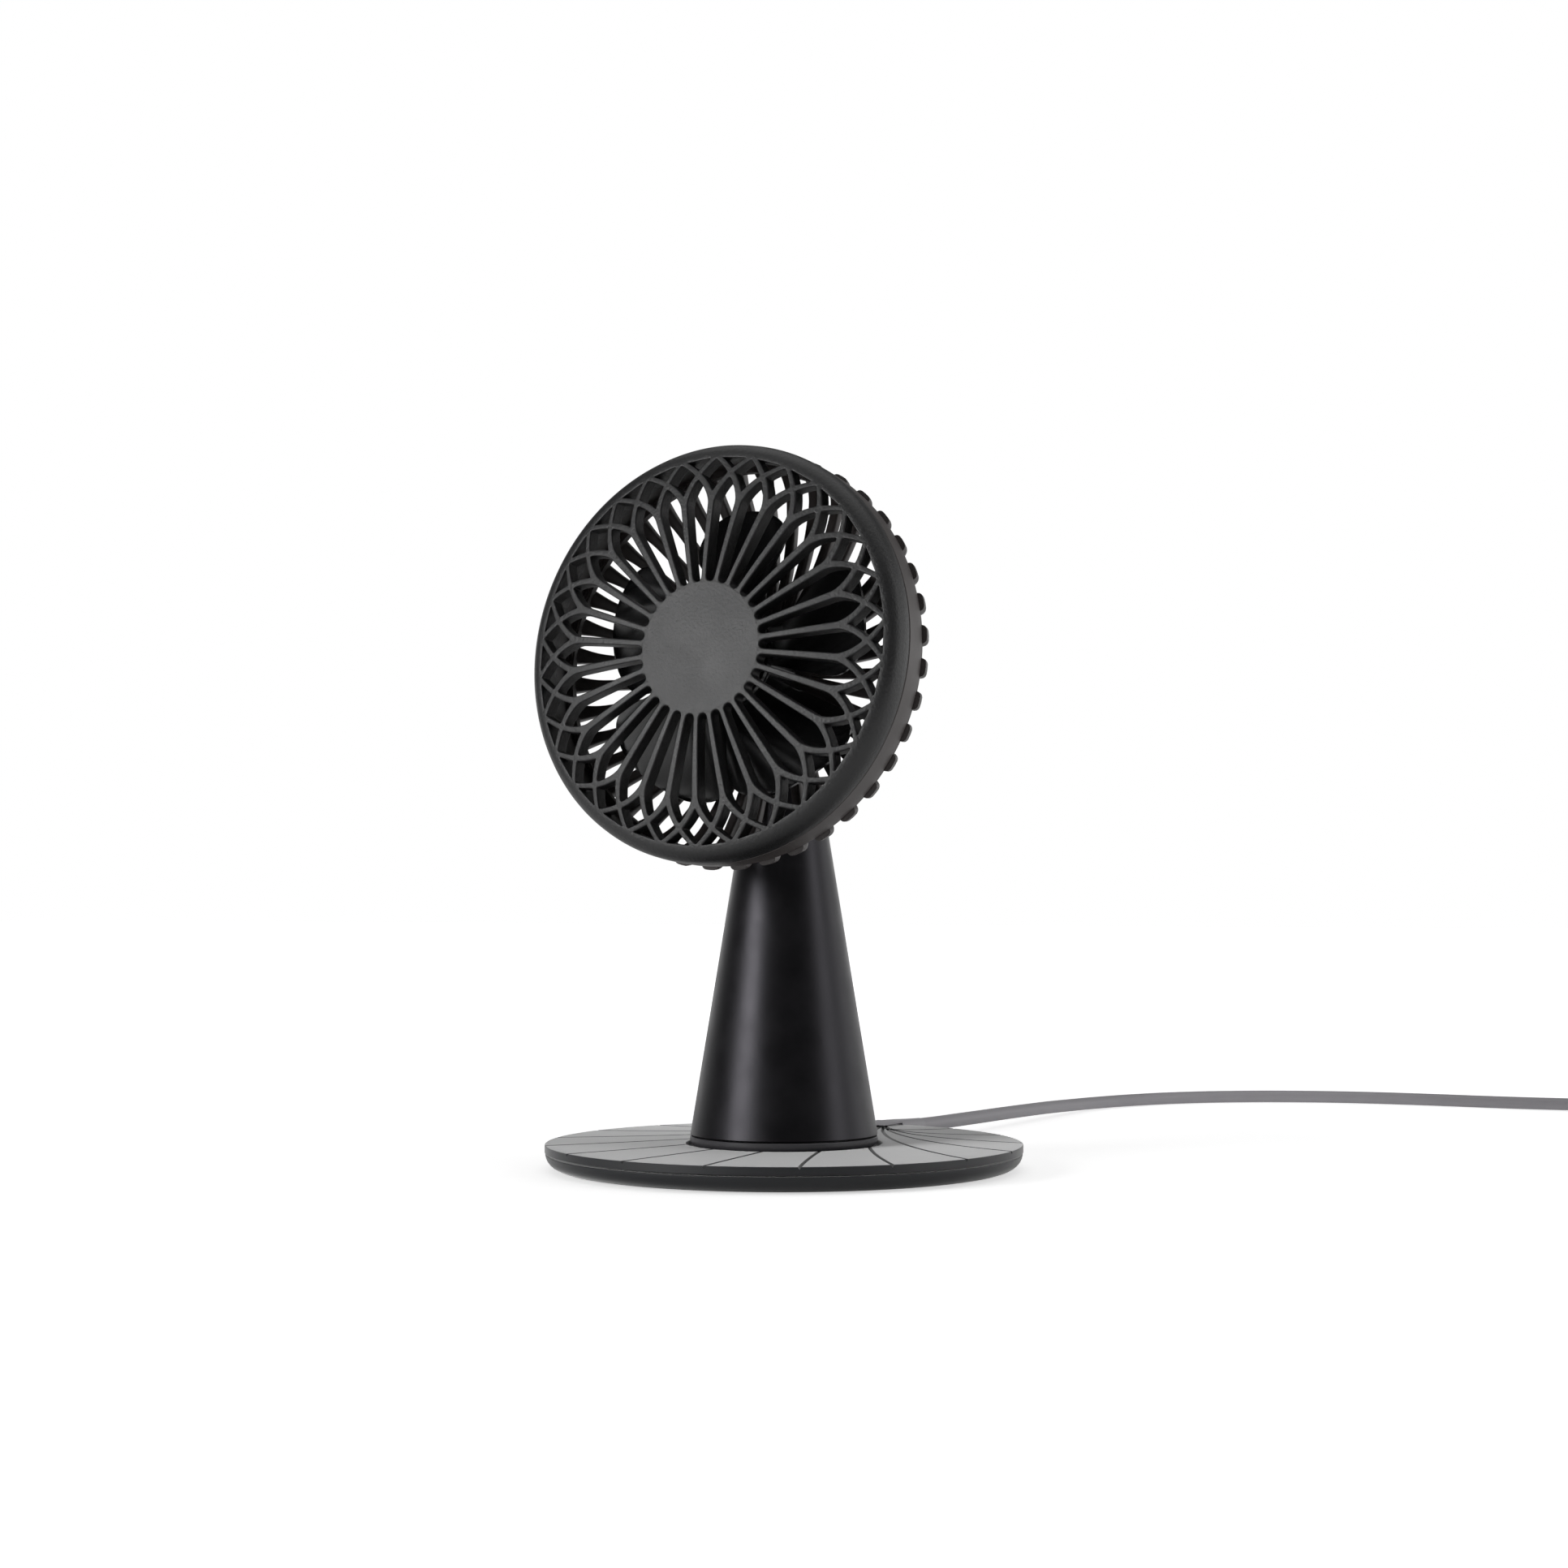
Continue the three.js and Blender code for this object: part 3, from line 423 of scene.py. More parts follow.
plain = add(sky, "ShaderNodeBackground", {"Color": (1, 1, 1, 1), "Strength": 1.0})
seen = add(sky, "ShaderNodeLightPath")
mixed = add(sky, "ShaderNodeMixShader", {0: seen.outputs["Is Camera Ray"],
                                         1: ambient.outputs[0], 2: plain.outputs[0]})
add(sky, "ShaderNodeOutputWorld", {"Surface": mixed.outputs[0]})


LIT = Vector((0, 0, 120)) * MM  # the point that the lights look at


def soft_box(name, azimuth, elevation, distance, width, height, watts):
    """A rectangular light at an azimuth and a height in degrees, its sizes in metres."""
    lamp = bpy.data.lights.new(name, "AREA")
    lamp.shape = "RECTANGLE"
    lamp.size = width
    lamp.size_y = height
    lamp.energy = watts
    box = bpy.data.objects.new(name, lamp)
    turn, rise = math.radians(azimuth), math.radians(elevation)
    away = Vector((math.sin(turn) * math.cos(rise), -math.cos(turn) * math.cos(rise),
                   math.sin(rise)))
    box.location = LIT + away * distance
    box.rotation_euler = (-away).to_track_quat("-Z", "Y").to_euler()
    box.visible_camera = False
    bpy.context.scene.collection.objects.link(box)


soft_box("key", -29, 14, 1.4, 0.6, 0.5, 11)
soft_box("fill_right", 100, 16, 1.4, 0.45, 1.2, 4.5)
soft_box("behind_right", 138, 12, 1.2, 0.5, 0.9, 1.2)
soft_box("overhead", 0, 89, 2.0, 3.0, 3.0, 25)
bpy.context.scene.view_settings.view_transform = "Standard"


# The dock --------------------------------------------------------------------------------
# Two ABS mouldings that clip together: a top plate with V-grooves that fan out from the
# lead's outlet and a shallow dish below it, on a rubber foot that hides the screws.

def turned(name, profile, material, steps=192, place=Matrix.Identity(4)):
    """A closed profile of (radius, height), in mm, turned about Z and then put in place."""
    made = bmesh.new()
    rings = []
    for radius, height in profile:
        if radius < 1e-6:
            rings.append([made.verts.new((0, 0, height * MM))])
        else:
            rings.append([made.verts.new((radius * math.cos(2 * math.pi * i / steps) * MM,
                                          radius * math.sin(2 * math.pi * i / steps) * MM,
                                          height * MM)) for i in range(steps)])
    closed = profile[0][0] > 1e-6
    pairs = list(zip(rings, rings[1:])) + ([(rings[-1], rings[0])] if closed else [])
    for here, there in pairs:
        for i in range(steps):
            j = (i + 1) % steps
            corners = [here[i % len(here)], here[j % len(here)],
                       there[j % len(there)], there[i % len(there)]]
            corners = list(dict.fromkeys(corners))
            if len(corners) > 2:
                made.faces.new(corners)
    made.transform(place)
    return mesh_object(name, made, material)


def corner(x, z, radius, start, end, steps=5):
    """Points of a round corner about a centre, from one angle in degrees to another."""
    turns = [math.radians(start + (end - start) * i / steps) for i in range(steps + 1)]
    return [(x + radius * math.cos(turn), z + radius * math.sin(turn)) for turn in turns]


def satin_abs(name, low, high, roughness, **constants):
    """ABS from a spark-eroded mould: satin, with a fine even grain."""
    material, tree, shader, place = new_material(name, low, roughness[0], ior=1.54, **constants)
    mottle(tree, shader, place, low, high, 14, roughness)
    grain(tree, shader, place, 0.32, 0.01)
    return material


DOCK_ABS = satin_abs("soft-touch slate ABS", "#14161a", "#181a1e", (0.5, 0.58),
                     sheen_weight=0.9, sheen_roughness=0.35)
PLATE = 2  # thickness of the top plate
SEAT_CLEARANCE = 1.2  # round the stem's foot
SEAT_DEPTH = 1.2
r = dock_radius
skirt_low = box_of("dock_plate")[0].z
plate_under = dock_top - PLATE
seat_radius = box_of("stem_cap")[1].x + SEAT_CLEARANCE
seat_floor = dock_top - SEAT_DEPTH
plate = turned("dock_top_plate", [
    (0, plate_under), (r - 2.6, plate_under), (r - 2.6, skirt_low), (r - 0.25, skirt_low),
    (r, skirt_low + 0.25), *corner(r - 0.35, dock_top - 0.35, 0.35, 0, 90, 4),
    (r - 3, dock_top), (seat_radius + 3, dock_top), (seat_radius + 0.4, dock_top),
    (seat_radius + 0.12, dock_top - 0.08), (seat_radius, dock_top - 0.35),
    (seat_radius, seat_floor), (0, seat_floor),
], DOCK_ABS, 240)

GROOVES = 16
GROOVE_WIDE = 1.15
GROOVE_DEEP = 0.8
BOW = 0.6  # how far out from the dock's centre a groove bows: 1 would make it straight
ABOVE = 2  # height of the cutter above the plate
GROOVE_STEPS = 24
made = bmesh.new()
outlet = Vector((0, r - 3))
cutter_wide = GROOVE_WIDE * (1 + ABOVE / GROOVE_DEEP)
for k in range(GROOVES):
    angle = math.radians(90 + 360 / (GROOVES + 1) * (k + 1))
    rim = Vector((math.cos(angle), math.sin(angle))) * (r + 1)
    bow = (outlet + rim) * 0.5 * BOW
    rows = []
    for i in range(GROOVE_STEPS + 1):
        t = i / GROOVE_STEPS
        at = outlet * (1 - t) ** 2 + bow * 2 * t * (1 - t) + rim * t * t
        along = ((bow - outlet) * (1 - t) + (rim - bow) * t).normalized()
        across = Vector((-along.y, along.x))
        vee = ((0, dock_top - GROOVE_DEEP), (1, dock_top + ABOVE), (-1, dock_top + ABOVE))
        rows.append([made.verts.new(Vector((*(at + across * side * cutter_wide / 2), height)) * MM)
                     for side, height in vee])
    for here, there in zip(rows, rows[1:]):
        for i in range(3):
            j = (i + 1) % 3
            made.faces.new((here[i], here[j], there[j], there[i]))
    made.faces.new(rows[0])
    made.faces.new(rows[-1])
cutter = mesh_object("groove_cutter", made, DOCK_ABS)
modified(plate, ("BOOLEAN", {"object": cutter, "solver": "EXACT", "use_self": True}))
bpy.data.objects.remove(cutter)
shaded(plate, 20)
settle(plate, "dock", "black_abs", "dock_plate")

GAP = 0.3  # between the dish and the rubber foot
dish_top = box_of("dock_shell")[1].z
foot_radius, foot_top = box_of("dock_foot")[1].xz
dish_floor = foot_top + GAP
dish = turned("dock_dish", [
    (0, dish_floor), (foot_radius + GAP, dish_floor), (foot_radius + GAP, 0.3),
    (foot_radius + 0.45, 0.12), (r - 5.4, 0.1), (r - 4.2, 0.3), (r - 3.1, 0.68), (r - 2.2, 1.2),
    (r - 1.45, 1.85), (r - 0.85, 2.6), (r - 0.45, 3.4), (r - 0.2, dish_top - 0.3),
    (r - 0.25, dish_top - 0.1), (r - 0.45, dish_top), (r - 2.8, dish_top),
    (r - 3.2, dish_floor + 2), (r - 4.5, dish_floor + 1.7), (0, dish_floor + 1.7),
], DOCK_ABS, 240)
shaded(dish, 50)
settle(dish, "dock", "black_abs", "dock_shell")
foot = turned("dock_rubber_foot", [
    (0, 0), (foot_radius - 0.4, 0), (foot_radius, 0.3), (foot_radius, foot_top), (0, foot_top),
], RUBBER, 180)
shaded(foot)
settle(foot, "dock", "black_rubber", "dock_foot")


# The stem ------------------------------------------------------------------------------
# A tapered aluminium tube, turned, bead blasted and anodised black, closed below by an ABS
# cap. The power button and its lamp sit in its rear face.

def black_anodised():
    """Bead-blasted aluminium, anodised black: a dark metal with a soft even sheen."""
    material, tree, shader, place = new_material("black anodised aluminium", "#2d2c2f", 0.38, 0.85)
    mottle(tree, shader, place, "#29282b", "#313033", 10, (0.34, 0.42))
    grain(tree, shader, place, 0.25, 0.006)
    return material


BLACK_ABS = satin_abs("satin black ABS", "#131315", "#171719", (0.4, 0.48))
CAP_HEIGHT = 3  # of its visible ring
CAP_SOFT = 2.2  # radius of its lower edge
CAP_FLOOR = 1.9
cap_low, cap_high = box_of("stem_cap")
cap_r = cap_high.x
cap_seam = cap_low.z + CAP_HEIGHT
# The cap is of the same black ABS as the neck. Its lighter charcoal colour is a painted reflection of the bright
# top plate round it.
CAP_ABS_PAINTED_REFLECTION = satin_abs("black ABS lightened by painted reflection", "#414043", "#474649", (0.36, 0.44))
cap = turned("stem_foot_cap", [
    (0, cap_low.z), (cap_r - CAP_SOFT, cap_low.z),
    *corner(cap_r - CAP_SOFT, cap_low.z + CAP_SOFT, CAP_SOFT, -80, -8, 6),
    (cap_r, cap_seam - 0.2), (cap_r - 0.2, cap_seam), (cap_r - 2.2, cap_seam),
    (cap_r - 2.2, cap_high.z), (cap_r - 5, cap_high.z), (cap_r - 5, cap_low.z + CAP_FLOOR),
    (0, cap_low.z + CAP_FLOOR),
], CAP_ABS_PAINTED_REFLECTION, 192)
shaded(cap, 45)
settle(cap, "fan_body", "black_abs", "stem_cap")

TAPER = 0.163  # radius lost with height
WALL = 1.8
cone_low, cone_high = box_of("stem_cone")


def cone_radius(height):
    """The radius of the stem at a height, which the neck goes on from."""
    return cap_r - TAPER * (height - cap_seam)


heights = list(np.linspace(cone_low.z + 0.3, cone_high.z - 0.3, 40))
cone = turned("stem_tube", [
    (cone_radius(cone_low.z) - WALL, cone_low.z), (cone_radius(cone_low.z) - 0.3, cone_low.z),
    *[(cone_radius(z), z) for z in heights],
    (cone_radius(cone_high.z) - 0.3, cone_high.z), (cone_radius(cone_high.z) - WALL, cone_high.z),
    *[(cone_radius(z) - WALL, z) for z in reversed(heights)],
], black_anodised(), 192)

BUTTON_HEIGHT = 70
BUTTON_RADIUS = 5
LAMP_HEIGHT = 81
LENS_RADIUS = 1


def joint_of(name):
    """A joint's record and the direction of its axis."""
    joint = next(j for j in frame["joints"] if j["name"] == name)
    return joint, Vector(joint["axis"]).normalized()


into = joint_of("button_press")[1]
sideways = Vector((1, 0, 0))
square_on = Matrix((sideways, (-into).cross(sideways), -into)).transposed().to_4x4()


def on_rear(height):
    """A frame on the tube's rear face, its Z pointing out of it."""
    return Matrix.Translation(Vector((0, cone_radius(height), height)) * MM) @ square_on


for height, radius in ((BUTTON_HEIGHT, BUTTON_RADIUS + 0.3), (LAMP_HEIGHT, LENS_RADIUS + 0.15)):
    drill = turned("drill", [(0, -6), (radius, -6), (radius, 6), (0, 6)], BLACK_ABS, 64,
                   on_rear(height))
    modified(cone, ("BOOLEAN", {"object": drill, "solver": "EXACT"}))
    bpy.data.objects.remove(drill)
shaded(cone, 40)
settle(cone, "fan_body", "black_aluminium", "stem_cone")

button = turned("button_cap", [
    (0, -3.2), (BUTTON_RADIUS + 0.8, -3.2), (BUTTON_RADIUS + 0.8, -2.6), (BUTTON_RADIUS, -2.6),
    (BUTTON_RADIUS, 0.1), *corner(BUTTON_RADIUS - 0.45, 0.15, 0.45, 0, 90, 5),
    (BUTTON_RADIUS - 1.2, 0.58), (BUTTON_RADIUS - 2.4, 0.4), (BUTTON_RADIUS - 3.6, 0.26), (0, 0.2),
], BLACK_ABS, 96, on_rear(BUTTON_HEIGHT))
shaded(button, 45)
settle(button, "button", "black_abs", "power_button")


def milky_acrylic():
    """Diffusing acrylic: glossy and milky white, clear enough to let a lamp glow through."""
    material, tree, shader, place = new_material("milky acrylic", "#dfe3e6", 0.22, ior=1.49)
    mottle(tree, shader, place, "#d9dde0", "#e6eaed", 1, (0.18, 0.28))
    return material


lens_dome = turned("lamp_window", [
    (0, -WALL - 0.4), (LENS_RADIUS, -WALL - 0.4), (LENS_RADIUS, -0.12),
    (LENS_RADIUS * 0.75, 0), (LENS_RADIUS * 0.4, 0.05), (0, 0.06),
], milky_acrylic(), 40, on_rear(LAMP_HEIGHT))
shaded(lens_dome, 60)
settle(lens_dome, "fan_body", "milky_lens", "lamp_lens")


# The neck ------------------------------------------------------------------------------
# An ABS moulding that goes on from the tube, with a boss that the head is screwed to. The
# motor's lead runs up through it.

REAR_DEPTH = 28.5  # from the seam of the head to its back
SKIRT = 6  # length that plugs into the tube
NECK_TOP = 152
CROWN = 4.5  # radius of the neck's rounded top
BOSS = 12.5
spin, forward = joint_of("impeller_spin")
motor_at = Vector(spin["pos_m"])
head_at = Matrix.Translation(motor_at) @ Matrix(
    (sideways, forward.cross(sideways), forward)).transposed().to_4x4()
reach = -motor_at.y / MM
neck_join = box_of("neck")[0].z + SKIRT
skirt_radius = cone_radius(neck_join) - WALL - 0.3
crown = ((0.93, 0.22), (0.8, 0.45), (0.62, 0.64), (0.42, 0.75), (0.2, 0.83), (0, 0.85))
post = turned("neck_moulding", [
    (0, neck_join - SKIRT), (skirt_radius - 0.3, neck_join - SKIRT),
    (skirt_radius, neck_join - SKIRT + 0.3), (skirt_radius, neck_join),
    (cone_radius(neck_join) - 0.25, neck_join), (cone_radius(neck_join), neck_join + 0.25),
    *[(cone_radius(z), z) for z in np.linspace(neck_join + 1, NECK_TOP, 24)],
    *[(CROWN * out, NECK_TOP + CROWN * up) for out, up in crown],
], BLACK_ABS, 128)
boss = turned("boss", [
    (0, -reach - 1), (BOSS - 5, -reach - 1), (BOSS - 3.2, -reach + 0.3),
    (BOSS - 1.2, -reach + 2.6), (BOSS - 0.3, -reach + 4), (BOSS, -reach + 5.5),
    (BOSS, -REAR_DEPTH - 0.3), (0, -REAR_DEPTH - 0.3),
], BLACK_ABS, 128, head_at)
modified(post, ("BOOLEAN", {"object": boss, "solver": "EXACT", "operation": "UNION"}))
bpy.data.objects.remove(boss)
shaded(post, 40)
settle(post, "fan_body", "black_abs", "neck")


# The front cover ------------------------------------------------------------------------
# One ABS moulding: a rounded rim, a flat hub disc and thirty ribs that fork like petals and
# cross their neighbours' forks, with deep walls and rounded top edges.

HUB = 18.7  # radius of the hub disc
OPENING = 55.3  # radius where the openings end
FACE = 10.5  # height of the hub disc above the seam
RIM = 6.9  # and of the rim's inner edge
RIBS = 30
RIB_DEEP = 4.5
SPLIT = 42.0  # radius where the ribs fork
MEET = 56.0  # radius where a fork meets the next rib's line
BEND = 1.5  # how slowly the forks part at first
EDGE = 0.4  # rounding of the ribs' edges
NOTCH = 1.25  # radius of an opening's inner end
SECTOR = 2 * math.pi / RIBS


def dome(radius):
    """The height of the cover's face above the seam, which falls away from the hub."""
    share = np.clip((radius - HUB) / (OPENING - HUB), 0, None)
    return FACE - (FACE - RIM) * share ** 1.6


def rib_width(radius):
    """Slender at the hub, widest where it forks, and slender again at the rim."""
    return np.interp(radius, [HUB, 26, SPLIT, 48, OPENING], [1.6, 1.75, 2.15, 1.85, 1.5])


def fork_share(radius):
    """0 where the ribs fork, and 1 where the forks meet the next ribs' lines."""
    return np.clip((radius - SPLIT) / (MEET - SPLIT), 0, None)


def fork_angle(radius):
    """The angle between a rib's line and the middle of either of its forks."""
    return SECTOR * fork_share(radius) ** BEND


def fork_half(radius):
    """Half of a fork's width as an angle. A fork that slopes takes up more of it."""
    slope = radius * SECTOR * BEND * fork_share(radius) ** (BEND - 1) / (MEET - SPLIT)
    return rib_width(radius) / 2 * np.hypot(1, slope) / radius


def petal_half(radius):
    """Half of the long opening between two ribs, with its round inner end."""
    straight = SECTOR / 2 - fork_angle(radius) - fork_half(radius)
    into = HUB + 0.2 + NOTCH - radius
    round_end = np.sqrt(np.clip(NOTCH ** 2 - into ** 2, 0, None)) / radius
    return np.where(into > 0, np.minimum(straight, round_end), straight)


def diamond_half(radius):
    """Half of the opening between a rib's two forks, which the next ribs' forks close."""
    return np.minimum(fork_angle(radius), SECTOR - fork_angle(radius)) - fork_half(radius)


def wedge_half(radius):
    """Half of the small opening between crossed forks and the rim."""
    return fork_angle(radius) - SECTOR / 2 - fork_half(radius)


def opening(half, low, high, rounding):
    """The outline of an opening about the X axis. Its corners are worn round, and it keeps a
    point for each few degrees of turn."""
    radii = np.linspace(low, high, 900)
    radii = radii[half(radii) > 0]
    halves = half(radii)
    one_side = np.column_stack([radii * np.cos(halves), radii * np.sin(halves)])
    loop = np.vstack([one_side, one_side[::-1] * (1, -1)])
    loop = np.vstack([loop, loop[:1]])
    along = np.concatenate([[0], np.cumsum(np.hypot(*np.diff(loop, axis=0).T))])
    count = int(along[-1] / 0.2)
    at = np.arange(count) * along[-1] / count
    points = np.column_stack([np.interp(at, along, loop[:, k]) for k in (0, 1)])
    for _ in range(rounding):
        points = (np.roll(points, 1, 0) + 2 * points + np.roll(points, -1, 0)) / 4
    ahead = np.roll(points, -1, 0) - points
    heading = np.unwrap(np.arctan2(ahead[:, 1], ahead[:, 0]))
    kept, last_turn, last_step = [0], heading[0], 0
    for i in range(1, count - 1):
        if abs(heading[i] - last_turn) > math.radians(7) or i - last_step > 7:
            kept.append(i)
            last_turn, last_step = heading[i], i
    return points[kept]


outlines = [  # each with its place in a sector
    (opening(petal_half, HUB + 0.2, OPENING, 7), 0.5),
    (opening(diamond_half, SPLIT, OPENING, 3), 0),
    (opening(wedge_half, SPLIT, OPENING, 2), 0.5),
]
LIP = 57.5  # radius of the flat outline, whose edge becomes the rim
flat = bpy.data.curves.new("front_cover", "CURVE")
flat.dimensions = "2D"
flat.fill_mode = "BOTH"
flat.extrude = (RIB_DEEP / 2 - EDGE) * MM
flat.bevel_depth = EDGE * MM
flat.bevel_resolution = 3
flat.offset = -EDGE * MM


def outline_spline(points):
    """Adds a closed outline in mm to the flat pattern."""
    spline = flat.splines.new("POLY")
    spline.points.add(len(points) - 1)
    for point, (x, y) in zip(spline.points, points):
        point.co = (x * MM, y * MM, 0, 1)
    spline.use_cyclic_u = True


angles = np.linspace(0, 2 * math.pi, 361)[:-1]
outline_spline(np.column_stack([np.cos(angles), np.sin(angles)]) * LIP)
for points, shift in outlines:
    for k in range(RIBS):
        turn = math.pi / 2 + (k + shift) * SECTOR
        outline_spline(points @ np.array([[math.cos(turn), math.sin(turn)],
                                          [-math.sin(turn), math.cos(turn)]]))
pattern = bpy.data.objects.new("pattern", flat)
bpy.context.scene.collection.objects.link(pattern)
bpy.context.view_layer.update()
mesh = bpy.data.meshes.new_from_object(
    pattern.evaluated_get(bpy.context.evaluated_depsgraph_get()))
bpy.data.objects.remove(pattern)

made = bmesh.new()
made.from_mesh(mesh)
bmesh.ops.remove_doubles(made, verts=made.verts, dist=1e-6)


def is_flat(face):
    return abs(face.normal.z) > 0.999


flat_faces = [face for face in made.faces if is_flat(face)]
flat_edges = {edge for face in flat_faces for edge in face.edges
              if len(edge.link_faces) == 2 and all(is_flat(side) for side in edge.link_faces)}
bmesh.ops.beautify_fill(made, faces=flat_faces, edges=list(flat_edges))

RIM_FROM = 56.4  # outside this radius lies the rim, and inside it the ribs
rim_profile = [  # radius and height, from the face over the rim to the clip ring behind it
    (57.0, float(dome(57.0))), (58.0, 5.95), (58.95, 4.95), (59.6, 3.65), (59.95, 2.1),
    (60.0, 0.3), (59.85, 0.15), (57.1, 0.15), (57.1, -2.6), (56.0, -2.6),
]
levels = sorted({round(vert.co.z / MM, 3) for vert in made.verts
                 if vert.co.xy.length > RIM_FROM * MM}, reverse=True)
for vert in made.verts:
    radius = vert.co.xy.length / MM
    height = vert.co.z / MM
    if radius > RIM_FROM:
        share = levels.index(round(height, 3)) / (len(levels) - 1) * (len(rim_profile) - 1)
        new_radius, new_height = rim_profile[round(share)]
        vert.co.xy *= new_radius / radius
        vert.co.z = new_height * MM
    else:
        vert.co.z = (height - RIB_DEEP / 2 + float(dome(radius))) * MM
made.transform(head_at)


def cover_abs():
    """ABS from a finely spark-eroded mould: satin black with a skin like fine leather."""
    material, tree, shader, place = new_material("satin black ABS, fine leather grain", "#141415",
                                                 0.43, ior=1.5)
    mottle(tree, shader, place, "#131314", "#171718", 12, (0.4, 0.46))
    cells = add(tree, "ShaderNodeTexVoronoi", {"Vector": place, "Scale": 1 / (0.8 * MM)},
                feature="SMOOTH_F1")
    fine = add(tree, "ShaderNodeTexNoise", {"Vector": place, "Scale": 1 / (0.3 * MM),
                                            "Detail": 3.0})
    relief = add(tree, "ShaderNodeMath", {0: cells.outputs["Distance"], 1: fine.outputs["Fac"]},
                 operation="ADD")
    bump = add(tree, "ShaderNodeBump", {"Height": relief.outputs[0], "Distance": 0.07 * MM})
    tree.links.new(bump.outputs[0], shader.inputs["Normal"])
    return material


cover = mesh_object("front_cover", made, cover_abs())
shaded(cover, 50)
settle(cover, "fan_body", "black_abs", "front_grille")


# The rear casing and its grille ------------------------------------------------------------
# A warm dark grey ABS band that clips behind the cover, and a bowl of forty flat bars on a
# hub. Each bar ends in a rounded knuckle that stands proud of the band.

GREY_ABS = satin_abs("satin warm grey ABS", "#35302f", "#3b3635", (0.4, 0.5))
LIP_RADIUS = 57.1  # of the clip ring on the cover, which the band goes round
BAND = 9  # depth of the band behind the seam
band = turned("rear_band", [
    (LIP_RADIUS + 0.3, -0.15), (59.75, -0.15), (60, -0.4), (59.95, -3), (59.85, -6),
    (59.5, -BAND + 0.25), (59.2, -BAND), (LIP_RADIUS - 0.4, -BAND), (LIP_RADIUS - 0.4, -2.9),
    (LIP_RADIUS + 0.3, -2.9),
], GREY_ABS, 240, head_at)
shaded(band, 40)
settle(band, "fan_body", "grey_abs", "rear_housing")


def copies_about_axis():
    """Turned copies of a piece about Z, evenly spaced, made real and given their material."""
    tree = bpy.data.node_groups.new("copies about an axis", "GeometryNodeTree")
    for name, kind in (("Piece", "Geometry"), ("Count", "Int"), ("First turn", "Float"),
                       ("Material", "Material")):
        tree.interface.new_socket(name, in_out="INPUT", socket_type=f"NodeSocket{kind}")
    tree.interface.new_socket("Copies", in_out="OUTPUT", socket_type="NodeSocketGeometry")
    given = add(tree, "NodeGroupInput")
    points = add(tree, "GeometryNodePoints", {"Count": given.outputs["Count"]})
    number = add(tree, "GeometryNodeInputIndex")
    pitch = add(tree, "ShaderNodeMath", {0: 2 * math.pi, 1: given.outputs["Count"]},
                operation="DIVIDE")
    turn = add(tree, "ShaderNodeMath", {0: number.outputs[0], 1: pitch.outputs[0],
                                        2: given.outputs["First turn"]}, operation="MULTIPLY_ADD")
    about_z = add(tree, "ShaderNodeCombineXYZ", {"Z": turn.outputs[0]})
    copies = add(tree, "GeometryNodeInstanceOnPoints", {
        "Points": points.outputs[0], "Instance": given.outputs["Piece"],
        "Rotation": about_z.outputs[0]})
    real = add(tree, "GeometryNodeRealizeInstances", {"Geometry": copies.outputs[0]})
    finish = add(tree, "GeometryNodeSetMaterial", {"Geometry": real.outputs[0],
                                                   "Material": given.outputs["Material"]})
    add(tree, "NodeGroupOutput", {"Copies": finish.outputs[0]})
    return tree


COPIES = copies_about_axis()


def repeated(thing, count, first_turn, material, place):
    """Gives a piece its turned copies, as one plain mesh put in place."""
    modifier = thing.modifiers.new("copies", "NODES")
    modifier.node_group = COPIES
    values = {"Count": count, "First turn": first_turn, "Material": material}
    for item in COPIES.interface.items_tree:
        if item.name in values:
            modifier[item.identifier] = values[item.name]
    modified(thing)
    thing.data.transform(place)
    return thing


def joined(first, *others):
    """Makes one piece of several."""
    with bpy.context.temp_override(active_object=first, object=first,
                                   selected_editable_objects=[first, *others]):
        bpy.ops.object.join()


def smooth_path(points, count):
    """A Catmull-Rom path through points, as an array."""
    points = [np.array(p, float) for p in points]
    points = [2 * points[0] - points[1], *points, 2 * points[-1] - points[-2]]
    path = []
    for i in range(count + 1):
        at = i / count * (len(points) - 3)
        k = min(int(at), len(points) - 4)
        t = at - k
        a, b, c, d = points[k:k + 4]
        path.append(0.5 * (2 * b + (c - a) * t + (2 * a - 5 * b + 4 * c - d) * t * t
                           + (3 * b - a - 3 * c + d) * t ** 3))
    return np.array(path)


BARS = 40
BAR_WIDE = 1.5  # half sizes of a bar, and what its knuckle adds to them
BAR_DEEP = 1.6
KNUCKLE_WIDE = 1.2
KNUCKLE_DEEP = 1.1
SQUARENESS = 0.55  # 1 would give an oval section, and 0 a rectangle
RING_POINTS = 20
bar_path = smooth_path([(15, -26.8), (24, -26.4), (33, -25.0), (41, -22.4), (48, -18.9),
                        (53.5, -15.3), (57.0, -12.2), (57.9, -9.35)], 36)
sections = []
for i, (radius, height) in enumerate(bar_path):
    share = i / (len(bar_path) - 1)
    before, after = bar_path[max(i - 1, 0)], bar_path[min(i + 1, len(bar_path) - 1)]
    along = (after - before) / np.linalg.norm(after - before)
    out = np.array([-along[1], along[0]])
    wide = BAR_WIDE + KNUCKLE_WIDE * eased(share, 0.6, 0.88)
    deep = BAR_DEEP + KNUCKLE_DEEP * eased(share, 0.62, 0.9)
    ring = []
    for k in range(RING_POINTS):
        turn = 2 * math.pi * k / RING_POINTS
        c, s = math.cos(turn), math.sin(turn)
        across = math.copysign(abs(c) ** SQUARENESS, c) * wide
        lift = math.copysign(abs(s) ** SQUARENESS, s) * deep
        ring.append((radius + out[0] * lift, across, height + out[1] * lift))
    sections.append(ring)
bars = lofted(sections, "rear_bars", GREY_ABS)
repeated(bars, BARS, math.pi / BARS, GREY_ABS, head_at)
